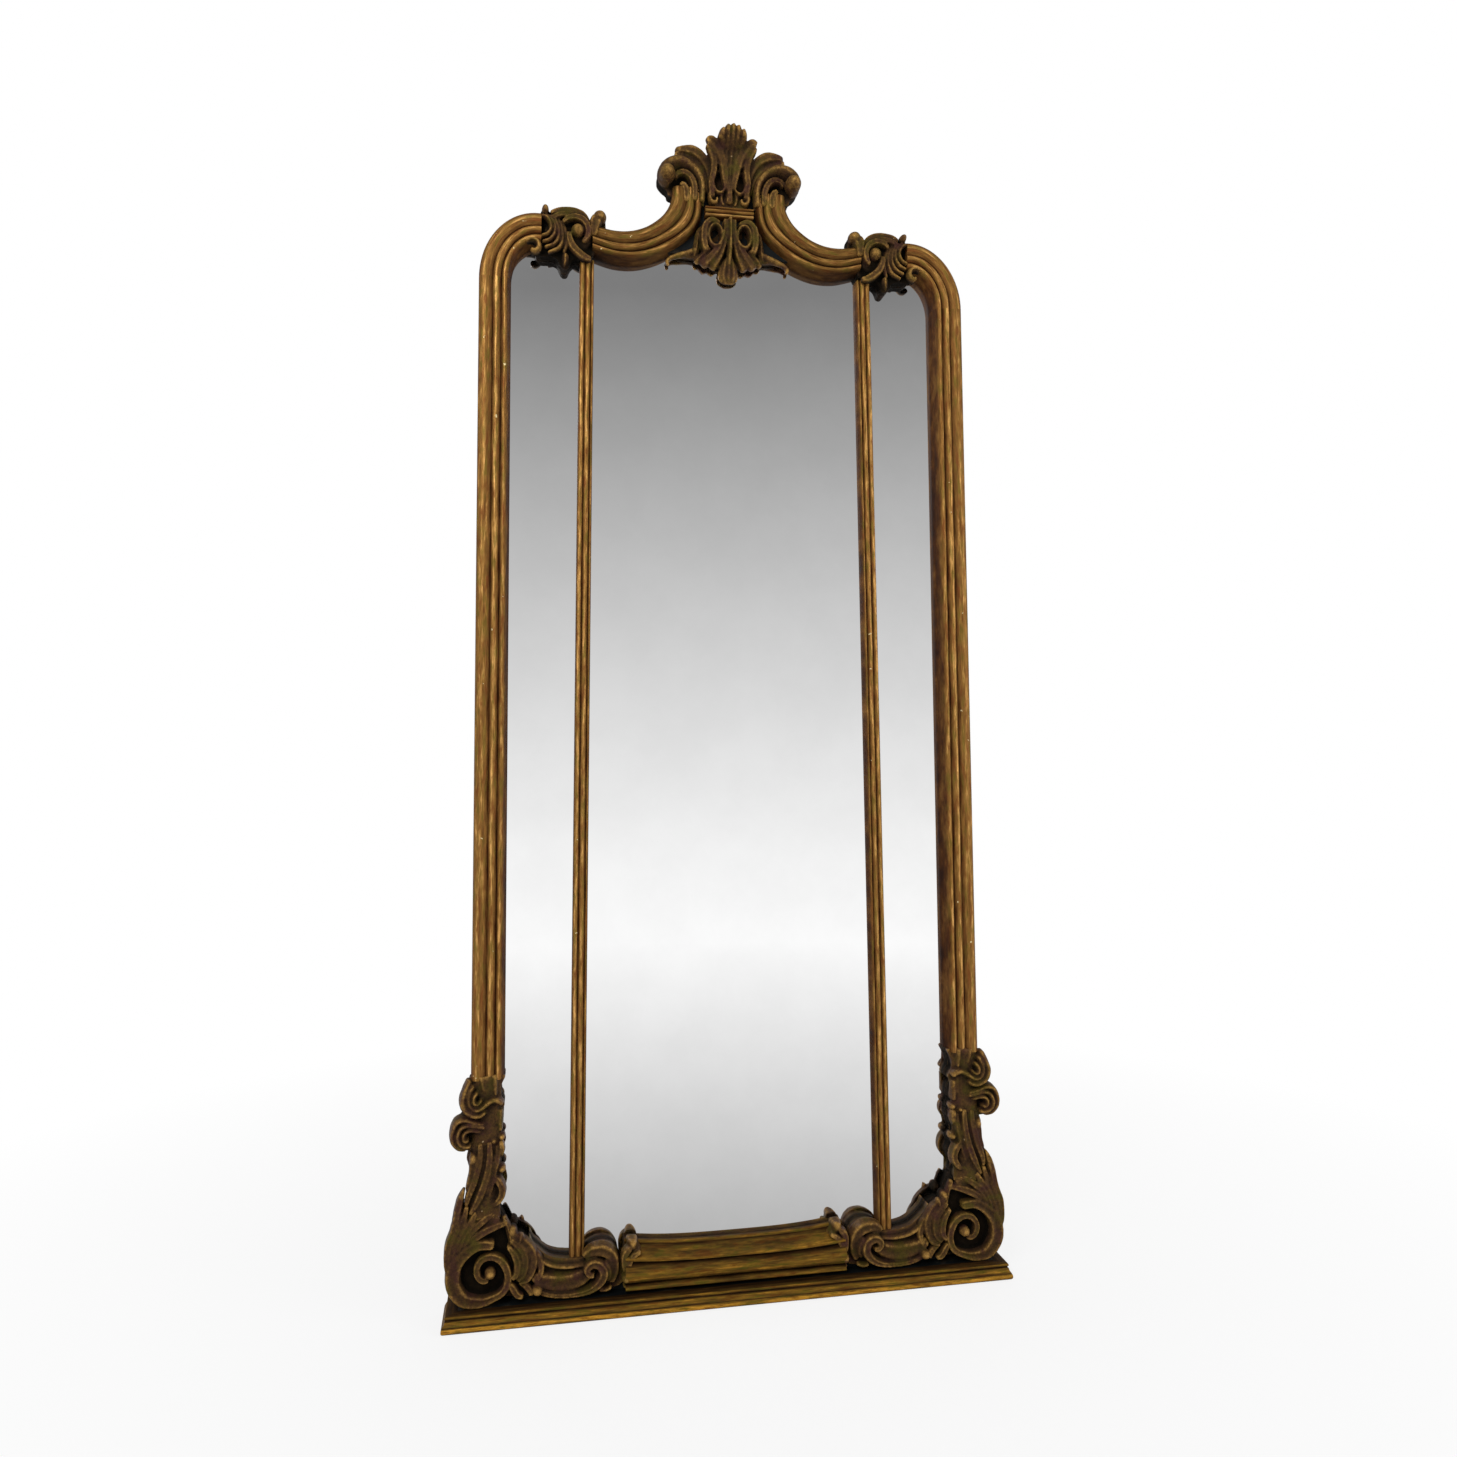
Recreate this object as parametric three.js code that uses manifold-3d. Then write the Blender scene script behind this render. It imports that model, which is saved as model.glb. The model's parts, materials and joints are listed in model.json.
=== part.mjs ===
// Trumeau mirror: a standing frame of carved and gilded wood with three mirror plates.
// Millimetres, +Z up. The front faces -Y, and y = 0 is the plane of the mouldings' crowns.
import * as THREE from 'three';
import { mergeVertices } from 'three/addons/utils/BufferGeometryUtils.js';
import Module from 'manifold-3d';

const wasm = await Module();
wasm.setup();

// Overall frame
const frameHalfWidth = 455.5;
const archTop = 1926;
const cornerRun = 103.5;
const cornerRise = 126;
const springHeight = archTop - cornerRise;
const mouldingWidth = 56;
const mouldingDepth = 38;
const uprightFoot = 396;
const shoulderWidth = 92;
const clearance = 0.3;

// Plinth
const plinthHalfWidth = 498;
const plinthFront = 28;
const plinthHeight = 27;
const plinthLipSetback = 10;
const plinthMouldingWidth = 26;

// Mirror plates and carcass
const glassThickness = 4;
const carcassThickness = 16;
const boardThickness = 6;
const stileWidth = 44;
const stileSetback = 3.5;
const plateBottom = 70.5;
const plateTop = archTop - 46;
const plateGap = 6;
const plateFit = 1;
const railHeight = 43;
const beadWidth = 9;

// Pilasters
const pilasterWidth = 26;
const pilasterDepth = 18;
const pilasterTopX = frameHalfWidth - 192.5;
const pilasterFootX = frameHalfWidth - 179.5;
const pilasterTop = archTop - 75;
const pilasterFoot = 86;

// Black panels and the carving on them
const panelThickness = 16;
const basePanelHeight = 41;
const baseRailHalf = frameHalfWidth - 251.5;
const huskWidth = 39;
const voluteWidth = 71;
const barHeight = 20;
const barCentre = archTop + 30;
const crestTip = barCentre + 144;
const crestLean = 34;
const neckHalf = 47;

// Depth planes, from the front to the back
const glassFront = mouldingDepth;
const glassBack = glassFront + glassThickness;
const panelFront = glassFront - panelThickness;
const carcassBack = glassFront + carcassThickness;
const back = carcassBack + boardThickness;

// Materials
const finish = (color, roughness, metalness) => ({ color, roughness, metalness });
const gilt = finish('#7a5a26', 0.5, 0.55);
const carved = finish('#4f3a1e', 0.55, 0.45);
const black = finish('#16181a', 0.6, 0);
const mirror = finish('#c9cccd', 0.05, 1);
const pine = finish('#8f6f4a', 0.85, 0);

const trumeau = new THREE.Group();

function addPiece(name, geometry, { color, roughness, metalness }) {
  const piece = new THREE.Mesh(geometry, new THREE.MeshStandardMaterial({ color, roughness, metalness }));
  piece.name = name;
  trumeau.add(piece);
}

// Adds a piece of the right side and its mirror image on the left.
function addPair(name, geometry, material) {
  addPiece(`right_${name}`, geometry, material);
  addPiece(`left_${name}`, mirrored(geometry), material);
}

function mirrored(geometry) {
  const copy = geometry.clone().scale(-1, 1, 1);
  const corners = copy.index.array;
  for (let i = 0; i < corners.length; i += 3) {
    [corners[i], corners[i + 1]] = [corners[i + 1], corners[i]];
  }
  copy.computeVertexNormals();
  return copy;
}

// Closed meshes and solids

// Merges shared corners, drops faces that have collapsed, and turns the faces outwards.
function closed(geometry) {
  const bare = new THREE.BufferGeometry();
  bare.setAttribute('position', geometry.getAttribute('position'));
  bare.setIndex(geometry.getIndex());
  const merged = mergeVertices(bare, 1e-3);
  const faces = [];
  for (let i = 0; i < merged.index.count; i += 3) {
    const [a, b, c] = [0, 1, 2].map((k) => merged.index.getX(i + k));
    if (a !== b && b !== c && c !== a) faces.push([a, b, c]);
  }
  merged.setIndex(faces.flat());
  if (volumeOf(merged) < 0) merged.setIndex(faces.flatMap(([a, b, c]) => [b, a, c]));
  merged.computeVertexNormals();
  return merged;
}

function toSolid(geometry) {
  const merged = closed(geometry);
  return new wasm.Manifold(new wasm.Mesh({
    numProp: 3,
    vertProperties: new Float32Array(merged.getAttribute('position').array),
    triVerts: new Uint32Array(merged.index.array),
  }));
}

function toGeometry(solid) {
  const mesh = solid.getMesh();
  const geometry = new THREE.BufferGeometry();
  geometry.setAttribute('position', new THREE.BufferAttribute(new Float32Array(mesh.vertProperties), 3));
  geometry.setIndex(new THREE.BufferAttribute(new Uint32Array(mesh.triVerts), 1));
  geometry.computeVertexNormals();
  return geometry;
}

const join = (geometries) => geometries.map(toSolid).reduce((all, next) => all.add(next));
const larger = (one, other) => (other.volume() > one.volume() ? other : one);
const largest = (solid) => solid.decompose().reduce(larger);
const cut = (solid, tools) => tools.map(toSolid).reduce((rest, tool) => rest.subtract(tool), solid);

function block(x0, x1, y0, y1, z0, z1) {
  const geometry = new THREE.BoxGeometry(x1 - x0, y1 - y0, z1 - z0);
  return closed(geometry.translate((x0 + x1) / 2, (y0 + y1) / 2, (z0 + z1) / 2));
}

// Keeps the part of a solid between two heights and two distances from the centre.
function trimmed(solid, x0, x1, z0, z1) {
  const deep = 2 * (mouldingDepth + plinthFront);
  return solid.intersect(toSolid(block(x0, x1, -deep, deep, z0, z1)));
}

const trimmedAcross = (solid, x0, x1) => trimmed(solid, x0, x1, 0, 2 * archTop);

// A board with its outline in the XZ plane, from y = front to y = rear.
function board(outline, front, rear) {
  const given = outline instanceof THREE.Shape;
  const shape = given ? outline : new THREE.Shape(outline.map(([x, z]) => point(x, z)));
  const geometry = new THREE.ExtrudeGeometry(shape, {
    depth: rear - front, bevelEnabled: false, curveSegments: 1,
  });
  return closed(geometry.rotateX(Math.PI / 2).translate(0, rear, 0));
}

const point = (x, z) => new THREE.Vector2(x, z);

function smoothOutline(points) {
  const shape = new THREE.Shape();
  shape.moveTo(...points[0]);
  shape.splineThru(points.slice(1).map(([x, z]) => point(x, z)));
  return shape;
}

// Value of a smooth curve through evenly spaced values, at t from 0 to 1.
function along(values, t) {
  if (!Array.isArray(values)) return values;
  const last = values.length - 1;
  return new THREE.SplineCurve(values.map((value, i) => point(i / last, value))).getPoint(t).y;
}

// Joins rings of equal size into one closed body with flat ends.
function loft(rings) {
  const size = rings[0].length;
  const positions = rings.flat().flatMap(({ x, y, z }) => [x, y, z]);
  const faces = [];
  for (let i = 0; i + 1 < rings.length; i++) {
    for (let j = 0; j < size; j++) {
      const a = i * size + j;
      const b = i * size + (j + 1) % size;
      faces.push([a, b, b + size], [a, b + size, a + size]);
    }
  }
  faces.push(...cap(rings[0], 0, true), ...cap(rings.at(-1), (rings.length - 1) * size, false));
  const geometry = new THREE.BufferGeometry();
  geometry.setAttribute('position', new THREE.Float32BufferAttribute(positions, 3));
  geometry.setIndex(faces.flat());
  return closed(geometry);
}

function cap(ring, first, reverse) {
  const spans = ring.map((corner) => corner.clone().sub(ring[0]).setY(0));
  const across = spans.reduce((far, span) => (span.length() > far.length() ? span : far)).normalize();
  const flat = ring.map((corner) => point(corner.clone().sub(ring[0]).dot(across), corner.y));
  const turn = Math.sign(THREE.ShapeUtils.area(flat));
  return THREE.ShapeUtils.triangulateShape(flat, []).map(([a, b, c]) => {
    const same = Math.sign(THREE.ShapeUtils.area([flat[a], flat[b], flat[c]])) === turn;
    return same === reverse ? [first + b, first + a, first + c] : [first + a, first + b, first + c];
  });
}

function volumeOf(geometry) {
  const position = geometry.getAttribute('position');
  const corner = (i) => new THREE.Vector3().fromBufferAttribute(position, geometry.index.getX(i));
  let volume = 0;
  for (let i = 0; i < geometry.index.count; i += 3) {
    volume += corner(i).dot(corner(i + 1).cross(corner(i + 2))) / 6;
  }
  return volume;
}

// One section of a strip: u runs across it from 0 to 1, and the back is flat.
function ring(outer, inner, section, rear) {
  const at = (u, y) => new THREE.Vector3(
    THREE.MathUtils.lerp(outer.x, inner.x, u), y, THREE.MathUtils.lerp(outer.y, inner.y, u));
  return [at(0, rear), ...section.map(([u, y]) => at(u, y)), at(1, rear)];
}

// Sections across a carved strip: place from edge to edge, and share of its rise.
const rounded = [[0, 0.35], [0.25, 0.97], [0.75, 0.97], [1, 0.35]];
const veined = [[0, 0.35], [0.28, 0.62], [0.5, 1], [0.72, 0.62], [1, 0.35]];
const fluted = [[0, 0.3], [0.16, 0.85], [0.33, 0.55], [0.5, 1], [0.67, 0.55], [0.84, 0.85], [1, 0.3]];

// A carved strip along a smooth path in the XZ plane. Its half width, its rise towards the
// front and the depth of its back are values along the path.
function strip({ path, half, rise, rear = panelFront, section = rounded, steps = 5 }) {
  const curve = new THREE.SplineCurve(path.map(([x, z]) => point(x, z)));
  const rings = [];
  for (let i = 0; i <= steps; i++) {
    const t = i / steps;
    const centre = curve.getPoint(t);
    const heading = curve.getTangent(t);
    const reach = point(-heading.y, heading.x).multiplyScalar(along(half, t));
    const rearAt = along(rear, t);
    const riseAt = along(rise, t);
    const front = section.map(([u, share]) => [u, rearAt - share * riseAt]);
    rings.push(ring(centre.clone().add(reach), centre.clone().sub(reach), front, rearAt));
  }
  return loft(rings);
}

// A round boss: a domed turning that faces the front.
function boss([x, z], radius, rear, rise) {
  const profile = [point(0, 0), point(radius, 0), point(radius, rise * 0.45)];
  for (const angle of [0.45, 0.95]) {
    profile.push(point(radius * Math.cos(angle), rise * (0.45 + 0.55 * Math.sin(angle))));
  }
  profile.push(point(0, rise));
  return closed(new THREE.LatheGeometry(profile, 10).rotateX(Math.PI).translate(x, rear, z));
}

// The frame moulding: from the outer edge, a large round, a bead between two grooves, a
// narrow bead and the slope to the plate. Distance from the outer edge, and depth.
const mouldingSection = [
  [0, 15], [2, 7], [7, 1.5], [13, 1.5], [19, 6], [23, 12.5],
  [26.5, 5], [31, 0], [35.5, 5], [39.5, 12.5],
  [42, 8], [45, 5.5], [48, 9], [50.5, 15], [56, 34],
].map(([across, depth]) => [across / 56, depth * mouldingDepth / 38]);

function moulding(edges) {
  return loft(edges.map(([outer, inner]) => ring(outer, inner, mouldingSection, glassFront)));
}

// Uprights and corners

const cornerCentreX = frameHalfWidth - cornerRun;
const shoulderOuterX = cornerCentreX - 6;
const shoulderInnerX = shoulderOuterX - shoulderWidth;

function cornerPoint(angle, inset) {
  return point(
    cornerCentreX + (cornerRun - inset) * Math.cos(angle),
    springHeight + (cornerRise - inset) * Math.sin(angle));
}

const uprightEdges = [uprightFoot, springHeight].map((z) => [
  point(frameHalfWidth, z), point(frameHalfWidth - mouldingWidth, z)]);
addPair('upright_moulding', moulding(uprightEdges), gilt);

const cornerEdges = [];
for (let i = 0; i <= 8; i++) {
  const angle = i * Math.PI / 16;
  cornerEdges.push([cornerPoint(angle, 0), cornerPoint(angle, mouldingWidth)]);
}
cornerEdges.push([
  point(shoulderOuterX, archTop), point(shoulderOuterX, archTop - mouldingWidth)]);
addPair('corner_moulding', moulding(cornerEdges), gilt);

// Scroll arms: the same moulding between an outer and an inner edge that rise from the
// shoulder to the neck, and a volute that turns outwards at the top.
const armTop = barCentre + 40;
const armRoot = shoulderInnerX - clearance;
const armOuter = new THREE.SplineCurve([
  [armRoot, archTop - 14], [armRoot * 0.795, archTop - 22], [armRoot * 0.63, archTop - 13],
  [armRoot * 0.516, archTop + 8], [neckHalf + 64, barCentre + 5], [neckHalf + 60, armTop],
].map(([x, z]) => point(x, z)));
const armInner = new THREE.SplineCurve([
  [armRoot, archTop - 63], [armRoot * 0.795, archTop - 75], [armRoot * 0.62, archTop - 66],
  [armRoot * 0.452, archTop - 47], [neckHalf + 20, archTop - 10], [neckHalf, armTop],
].map(([x, z]) => point(x, z)));

const armSteps = 12;
function armEdges(grow) {
  const edges = [];
  for (let i = 0; i <= armSteps; i++) {
    const outer = armOuter.getPoint(i / armSteps);
    const inner = armInner.getPoint(i / armSteps);
    const reach = outer.clone().sub(inner).setLength(grow);
    edges.push([outer.add(reach), inner.sub(reach)]);
  }
  edges[0].forEach((edge) => { edge.x = armRoot; });
  return edges;
}

const armVoluteCentre = [neckHalf + 43, armTop + 12];
const armVoluteRadius = 40;
const turnCircle = (radius) => Array.from({ length: 20 }, (_, i) => [
  armVoluteCentre[0] + radius * Math.cos(i * Math.PI / 10),
  armVoluteCentre[1] + radius * Math.sin(i * Math.PI / 10)]);
const voluteTurn = (t) => {
  const angle = Math.PI + (1 - t) * 0.2 - t * 3.4 * Math.PI;
  const radius = armVoluteRadius * (0.84 - 0.62 * t);
  return [armVoluteCentre[0] + radius * Math.cos(angle), armVoluteCentre[1] + radius * Math.sin(angle)];
};
const turnPath = Array.from({ length: 14 }, (_, i) => voluteTurn(i / 13));
const armVolute = [
  boss(armVoluteCentre, armVoluteRadius, glassFront - 4, 30),
  strip({ path: turnPath, half: [6.5, 6, 5, 4], rise: [36, 44, 50, 50], rear: glassFront - 4, steps: 15 }),
  boss(armVoluteCentre, 8, glassFront - 6, 54),
];
const armDiscGround = board(turnCircle(armVoluteRadius - 2), glassFront - 14, glassFront);
const arm = join([moulding(armEdges(0)), armDiscGround, ...armVolute]);
addPair('scroll_arm', toGeometry(arm), gilt);

// Shoulder ornament: a cartouche between the corner moulding and the arm. Its points are
// distances from the corner moulding's end towards the centre, and from the arch's top.
const shoulder = (dx, dz) => [shoulderOuterX - dx, archTop + dz];
const shoulderOutline = [
  [1, -2], [0, 6], [5, 13], [12, 11], [15, 5], [22, 7], [30, 11], [42, 13], [52, 9], [60, 10],
  [68, 5], [76, -4], [83, -8], [shoulderWidth - 1, -12], [shoulderWidth - 1, -64],
  [80, -74], [57, -75], [58, -92], [48, -98], [30, -97], [20, -92], [14, -80], [1, -73],
].map(([dx, dz]) => shoulder(dx + clearance, dz));
const shoulderStrips = [
  { path: [[89, -52], [90, -30], [80, -14], [60, -8], [44, -14], [46, -22]],
    half: [4, 5, 6, 6, 4, 3], rise: 24, steps: 8 },
  { path: [[50, -34], [54, -52], [66, -64], [80, -70]], half: [6, 7, 6, 4], rise: [22, 20, 16, 10] },
  { path: [[40, 8], [37, -24], [34, -50], [40, -78], [44, -94]],
    half: [7, 9, 10, 10, 5], rise: [12, 20, 22, 18, 10],
    section: veined, steps: 7 },
  { path: [[4, -10], [14, -18], [21, -38], [17, -58], [4, -68]],
    half: [4, 6, 6, 6, 4], rise: [14, 20, 22, 20, 14] },
  { path: [[5, -24], [10, -38], [5, -54]], half: [2, 4, 2], rise: 16 },
  { path: [[6, 9], [10, 0], [26, 2], [48, 2], [64, 0], [76, -9]],
    half: [4, 4, 6, 7, 6, 4], rise: [14, 14, 18, 20, 18, 14],
    section: veined, steps: 7 },
  { path: [[26, -60], [22, -78], [20, -90]], half: [5, 7, 4], rise: [16, 14, 8], section: veined, steps: 6 },
].map(({ path, ...rest }) => strip({
  ...rest, path: path.map(([dx, dz]) => shoulder(dx, dz)), rear: panelFront + 2,
}));
const shoulderCartouche = trimmedAcross(join([
  board(shoulderOutline, panelFront - 4, glassFront),
  boss(shoulder(65, -38), 12, panelFront, 28),
  ...shoulderStrips,
]), shoulderInnerX, shoulderOuterX - clearance);

// The small leaf that stands on the arm beside the cartouche, cut to the arm below it
const finialPath = [[82, -12], [92, -2], [99, 6], [103, 12]].map(([dx, dz]) => shoulder(dx, dz));
const finial = strip({ path: finialPath,
  half: [6, 8, 9, 6], rise: [24, 26, 24, 14], rear: glassFront, section: veined });
const armSeat = loft(armEdges(clearance).map(([outer, inner]) => ring(
  outer, inner, [[0, -2 * mouldingDepth], [1, -2 * mouldingDepth]], 2 * glassFront)));
const shoulderBody = cut(shoulderCartouche.add(toSolid(finial)), [armSeat]);
addPair('shoulder_ornament', toGeometry(shoulderBody), carved);

// Crest: bar, black panel, palmette above and pendant palmette below.
// The gap between the arms at a height, less the clearance
function neckAt(z) {
  let reach = neckHalf;
  for (let i = 0; i <= 100; i++) {
    const edge = armInner.getPoint(i / 100);
    if (edge.y <= z) reach = edge.x;
  }
  return reach - 1;
}
const crestPanelFoot = archTop - 50;
const panelHeights = [
  crestPanelFoot, crestPanelFoot + 12, archTop - 25, archTop - 8, archTop + 12, barCentre, armTop,
];
const crestPanelSide = panelHeights.map((z) => [Math.min(neckAt(z), neckAt(z - 2)), z]);
const panelTop = [[neckHalf - 8, armTop + 12], [neckHalf - 12, armTop + 44]];
const crestPanelOutline = [...crestPanelSide, ...panelTop, ...mirrorPoints([...crestPanelSide, ...panelTop])];

function mirrorPoints(points) {
  return points.toReversed().map(([x, z]) => [-x, z]);
}

const armDisc = board(turnCircle(armVoluteRadius + 2.5), -4 * mouldingDepth, glassFront + 1);
const armCutters = [armSeat, mirrored(armSeat), armDisc, mirrored(armDisc)];
const crestPanel = cut(toSolid(board(crestPanelOutline, panelFront, glassFront)), armCutters);
addPiece('crest_panel', toGeometry(crestPanel), black);

const barSection = [
  [0, 14], [0.06, 4], [0.16, 1], [0.28, 4], [0.34, 8], [0.4, 3], [0.5, 0], [0.6, 3],
  [0.66, 8], [0.72, 4], [0.84, 1], [0.94, 4], [1, 14],
];
const barHalf = neckHalf - 1.5;
const bar = loft([-barHalf, barHalf].map((x) => ring(
  point(x, barCentre + barHeight / 2), point(x, barCentre - barHeight / 2), barSection, panelFront)));
addPiece('crest_bar', toGeometry(cut(toSolid(bar), armCutters)), gilt);

const leafFoot = barCentre + barHeight / 2 + clearance;
const leafRise = crestTip - leafFoot;
// Back of the leaning palmette: it leaves the panel and comes forward towards its tip.
const lean = (shares) => shares.map((share) => panelFront - share * (panelFront + crestLean));
const onLeaf = (x, share) => [x, leafFoot + share * leafRise];
const crestStrips = [
  { path: [onLeaf(0, 0), onLeaf(0, 0.3), onLeaf(0, 0.6), onLeaf(0, 0.82), onLeaf(0, 1)],
    half: [12, 7, 12, 24, 16], rise: [16, 18, 20, 18, 14], rear: lean([0, 0.04, 0.3, 0.62, 1]),
    section: fluted, steps: 9 },
];
for (const side of [1, -1]) {
  crestStrips.push(
    { path: [onLeaf(8 * side, 0), onLeaf(29 * side, 0.2), onLeaf(28 * side, 0.45), onLeaf(42 * side, 0.76)],
      half: [5, 9, 13, 8], rise: [14, 18, 20, 12], rear: lean([0, 0.03, 0.2, 0.55]),
      section: veined, steps: 8 },
    { path: [onLeaf(18 * side, 0.5), onLeaf(54 * side, 0.62), onLeaf(98 * side, 0.67)],
      half: [12, 13, 7], rise: [16, 16, 10], rear: lean([0.15, 0.3, 0.4]), section: veined, steps: 7 });
}
const crestTongue = board([
  [-26, leafFoot], [26, leafFoot], [34, leafFoot + 50], [16, leafFoot + 80],
  [-16, leafFoot + 80], [-34, leafFoot + 50],
], panelFront - 6, panelFront);
const crestBody = trimmed(
  join([crestTongue, ...crestStrips.map(strip)]), -frameHalfWidth, frameHalfWidth, leafFoot, crestTip);
addPiece('crest_leaf', toGeometry(largest(cut(crestBody, armCutters))), carved);

const pendantTop = barCentre - barHeight / 2 - clearance;
const onPendant = (x, drop) => [x, pendantTop - drop];
const pendantStrips = [
  { path: [onPendant(0, 4), onPendant(0, 36), onPendant(0, 78), onPendant(0, 96), onPendant(0, 118)],
    half: [8, 6, 12, 20, 9], rise: [16, 18, 16, 14, 8], section: fluted, steps: 9 },
];
for (const side of [1, -1]) {
  pendantStrips.push(
    { path: [
      onPendant(6 * side, 20), onPendant(26 * side, 7), onPendant(43 * side, 26), onPendant(38 * side, 62)],
      half: [5, 6, 6, 5], rise: [12, 16, 18, 16], steps: 8 },
    { path: [onPendant(6 * side, 56), onPendant(26 * side, 72), onPendant(38 * side, 88)],
      half: [7, 11, 8], rise: [16, 16, 10], section: veined, steps: 5 },
    { path: [onPendant(30 * side, 52), onPendant(48 * side, 66), onPendant(60 * side, 80)],
      half: [8, 10, 8], rise: [14, 14, 10], section: veined, steps: 5 },
    { path: [onPendant(40 * side, 44), onPendant(70 * side, 66), onPendant(108 * side, 80)],
      half: [8, 9, 6], rise: [14, 12, 8], section: veined, steps: 5 });
}
const pendantShield = board([
  [-30, pendantTop - 6], [30, pendantTop - 6], [50, pendantTop - 30], [56, pendantTop - 62],
  [0, pendantTop - 84], [-56, pendantTop - 62], [-50, pendantTop - 30],
], panelFront - 3, panelFront);
const pendantBody = trimmed(
  join([pendantShield, ...pendantStrips.map(strip)]),
  -frameHalfWidth, frameHalfWidth, springHeight, pendantTop);
const pendant = cut(pendantBody, [armSeat, mirrored(armSeat)]);
addPiece('pendant_leaf', toGeometry(largest(pendant)), carved);

// Plates, carcass and backboards

const stileOuterX = frameHalfWidth - stileSetback;
const stileInnerX = stileOuterX - stileWidth;
const railTop = plinthHeight + railHeight;
const pilasterX = (z) => THREE.MathUtils.mapLinear(z, pilasterFoot, pilasterTop, pilasterFootX, pilasterTopX);

function arcPoints(run, rise, steps) {
  return Array.from({ length: steps + 1 }, (_, i) => {
    const angle = i * Math.PI / 2 / steps;
    return [cornerCentreX + run * Math.cos(angle), springHeight + rise * Math.sin(angle)];
  });
}

const plateEdgeX = stileInnerX - plateFit;
const plateArc = arcPoints(plateEdgeX - cornerCentreX, plateTop - springHeight, 8);
const sidePlate = [
  [pilasterX(plateBottom) + plateGap / 2, plateBottom], [plateEdgeX, plateBottom], ...plateArc,
  [pilasterX(plateTop) + plateGap / 2, plateTop],
];
addPair('mirror_plate', board(sidePlate, glassFront, glassBack), mirror);
const centreHalf = [
  [pilasterX(plateBottom) - plateGap / 2, plateBottom], [pilasterX(plateTop) - plateGap / 2, plateTop]];
const centrePlate = [...centreHalf, ...mirrorPoints(centreHalf)];
addPiece('centre_mirror_plate', board(centrePlate, glassFront, glassBack), mirror);

addPair('stile', block(stileInnerX, stileOuterX, glassFront, carcassBack, plinthHeight, springHeight), pine);
addPiece('bottom_rail', block(
  -stileInnerX + clearance, stileInnerX - clearance, glassFront, carcassBack, plinthHeight, railTop), pine);

const railArcOuter = arcPoints(cornerRun - stileSetback, cornerRise - stileSetback, 10);
const railArcInner = arcPoints(stileInnerX - cornerCentreX, plateTop + plateFit - springHeight, 8);
const railUpper = Array.from({ length: 13 }, (_, i) => armOuter.getPoint(i / 12))
  .map(({ x, y }) => [Math.max(x - stileSetback, neckHalf), y - stileSetback]);
const railSide = [
  ...railArcInner.toReversed(), ...railArcOuter,
  [shoulderInnerX, archTop - 18], ...railUpper.slice(1),
  [neckHalf + 40, armTop + 30], [neckHalf - 12, armTop + 44],
];
const topRail = board([...railSide, ...mirrorPoints(railSide)], glassFront, carcassBack);
addPiece('top_rail', topRail, pine);

// Muntin behind a pilaster, with a tongue between the plates that the pilaster is fixed to
const muntinHalf = 18;
const tongueHalf = plateGap / 2 - plateFit;
const railGap = clearance;
const muntinEnds = [railTop + railGap, plateTop + plateFit - railGap];
const muntin = loft(muntinEnds.map((z) => {
  const x = pilasterX(z);
  return [
    [-muntinHalf, glassBack + railGap], [-tongueHalf, glassBack + railGap], [-tongueHalf, glassFront],
    [tongueHalf, glassFront], [tongueHalf, glassBack + railGap], [muntinHalf, glassBack + railGap],
    [muntinHalf, carcassBack], [-muntinHalf, carcassBack],
  ].map(([dx, y]) => new THREE.Vector3(x + dx, y, z));
}));
addPair('muntin', muntin, pine);

// Glazing beads: three-sided strips in the corner between a plate and the carcass
function bead(xAt, side) {
  return loft([plateBottom + 2, springHeight].map((z) => [
    [0, glassBack], [beadWidth * side, glassBack], [0, glassBack + beadWidth],
  ].map(([dx, y]) => new THREE.Vector3(xAt(z) + dx, y, z))));
}
addPair('outer_glazing_bead', bead(() => stileInnerX, -1), pine);
addPair('inner_glazing_bead', bead((z) => pilasterX(z) + muntinHalf + clearance, 1), pine);
addPair('centre_glazing_bead', bead((z) => pilasterX(z) - muntinHalf - clearance, -1), pine);

// Backboards, which meet behind the muntins
const boardTop = plateTop + 14;
const sideBoardArc = arcPoints(cornerRun - 8, boardTop - springHeight, 8);
const sideBoard = [
  [pilasterX(plinthHeight) + clearance, plinthHeight], [frameHalfWidth - 8, plinthHeight], ...sideBoardArc,
  [pilasterX(boardTop) + clearance, boardTop],
];
addPair('backboard', board(sideBoard, carcassBack, back), pine);
const boardSide = [
  [pilasterX(plinthHeight) - clearance, plinthHeight], [pilasterX(boardTop) - clearance, boardTop]];
const centreBoard = [...boardSide, ...mirrorPoints(boardSide)];
addPiece('centre_backboard', board(centreBoard, carcassBack, back), pine);

// Pilasters: a broad reed between two narrow ones
const pilasterSection = [
  [0, 0.35], [0.04, 0.1], [0.14, 0], [0.24, 0.12], [0.28, 0.35], [0.33, 0.1], [0.42, 0.02], [0.5, 0],
  [0.58, 0.02], [0.67, 0.1], [0.72, 0.35], [0.76, 0.12], [0.86, 0], [0.96, 0.1], [1, 0.35],
].map(([u, share]) => [u, glassFront - pilasterDepth * (1 - share)]);
const pilaster = loft([pilasterFoot, pilasterTop].map((z) => ring(
  point(pilasterX(z) - pilasterWidth / 2, z), point(pilasterX(z) + pilasterWidth / 2, z),
  pilasterSection, glassFront)));
addPair('pilaster', pilaster, gilt);

// Base: black panel, rail moulding, C-scrolls, husks, volutes and stems

const huskInnerX = frameHalfWidth - voluteWidth - huskWidth;
const voluteInnerX = frameHalfWidth - voluteWidth;
addPiece('base_panel', block(
  -voluteInnerX + clearance, voluteInnerX - clearance, panelFront, glassFront, plinthHeight,
  plinthHeight + basePanelHeight), black);

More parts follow.
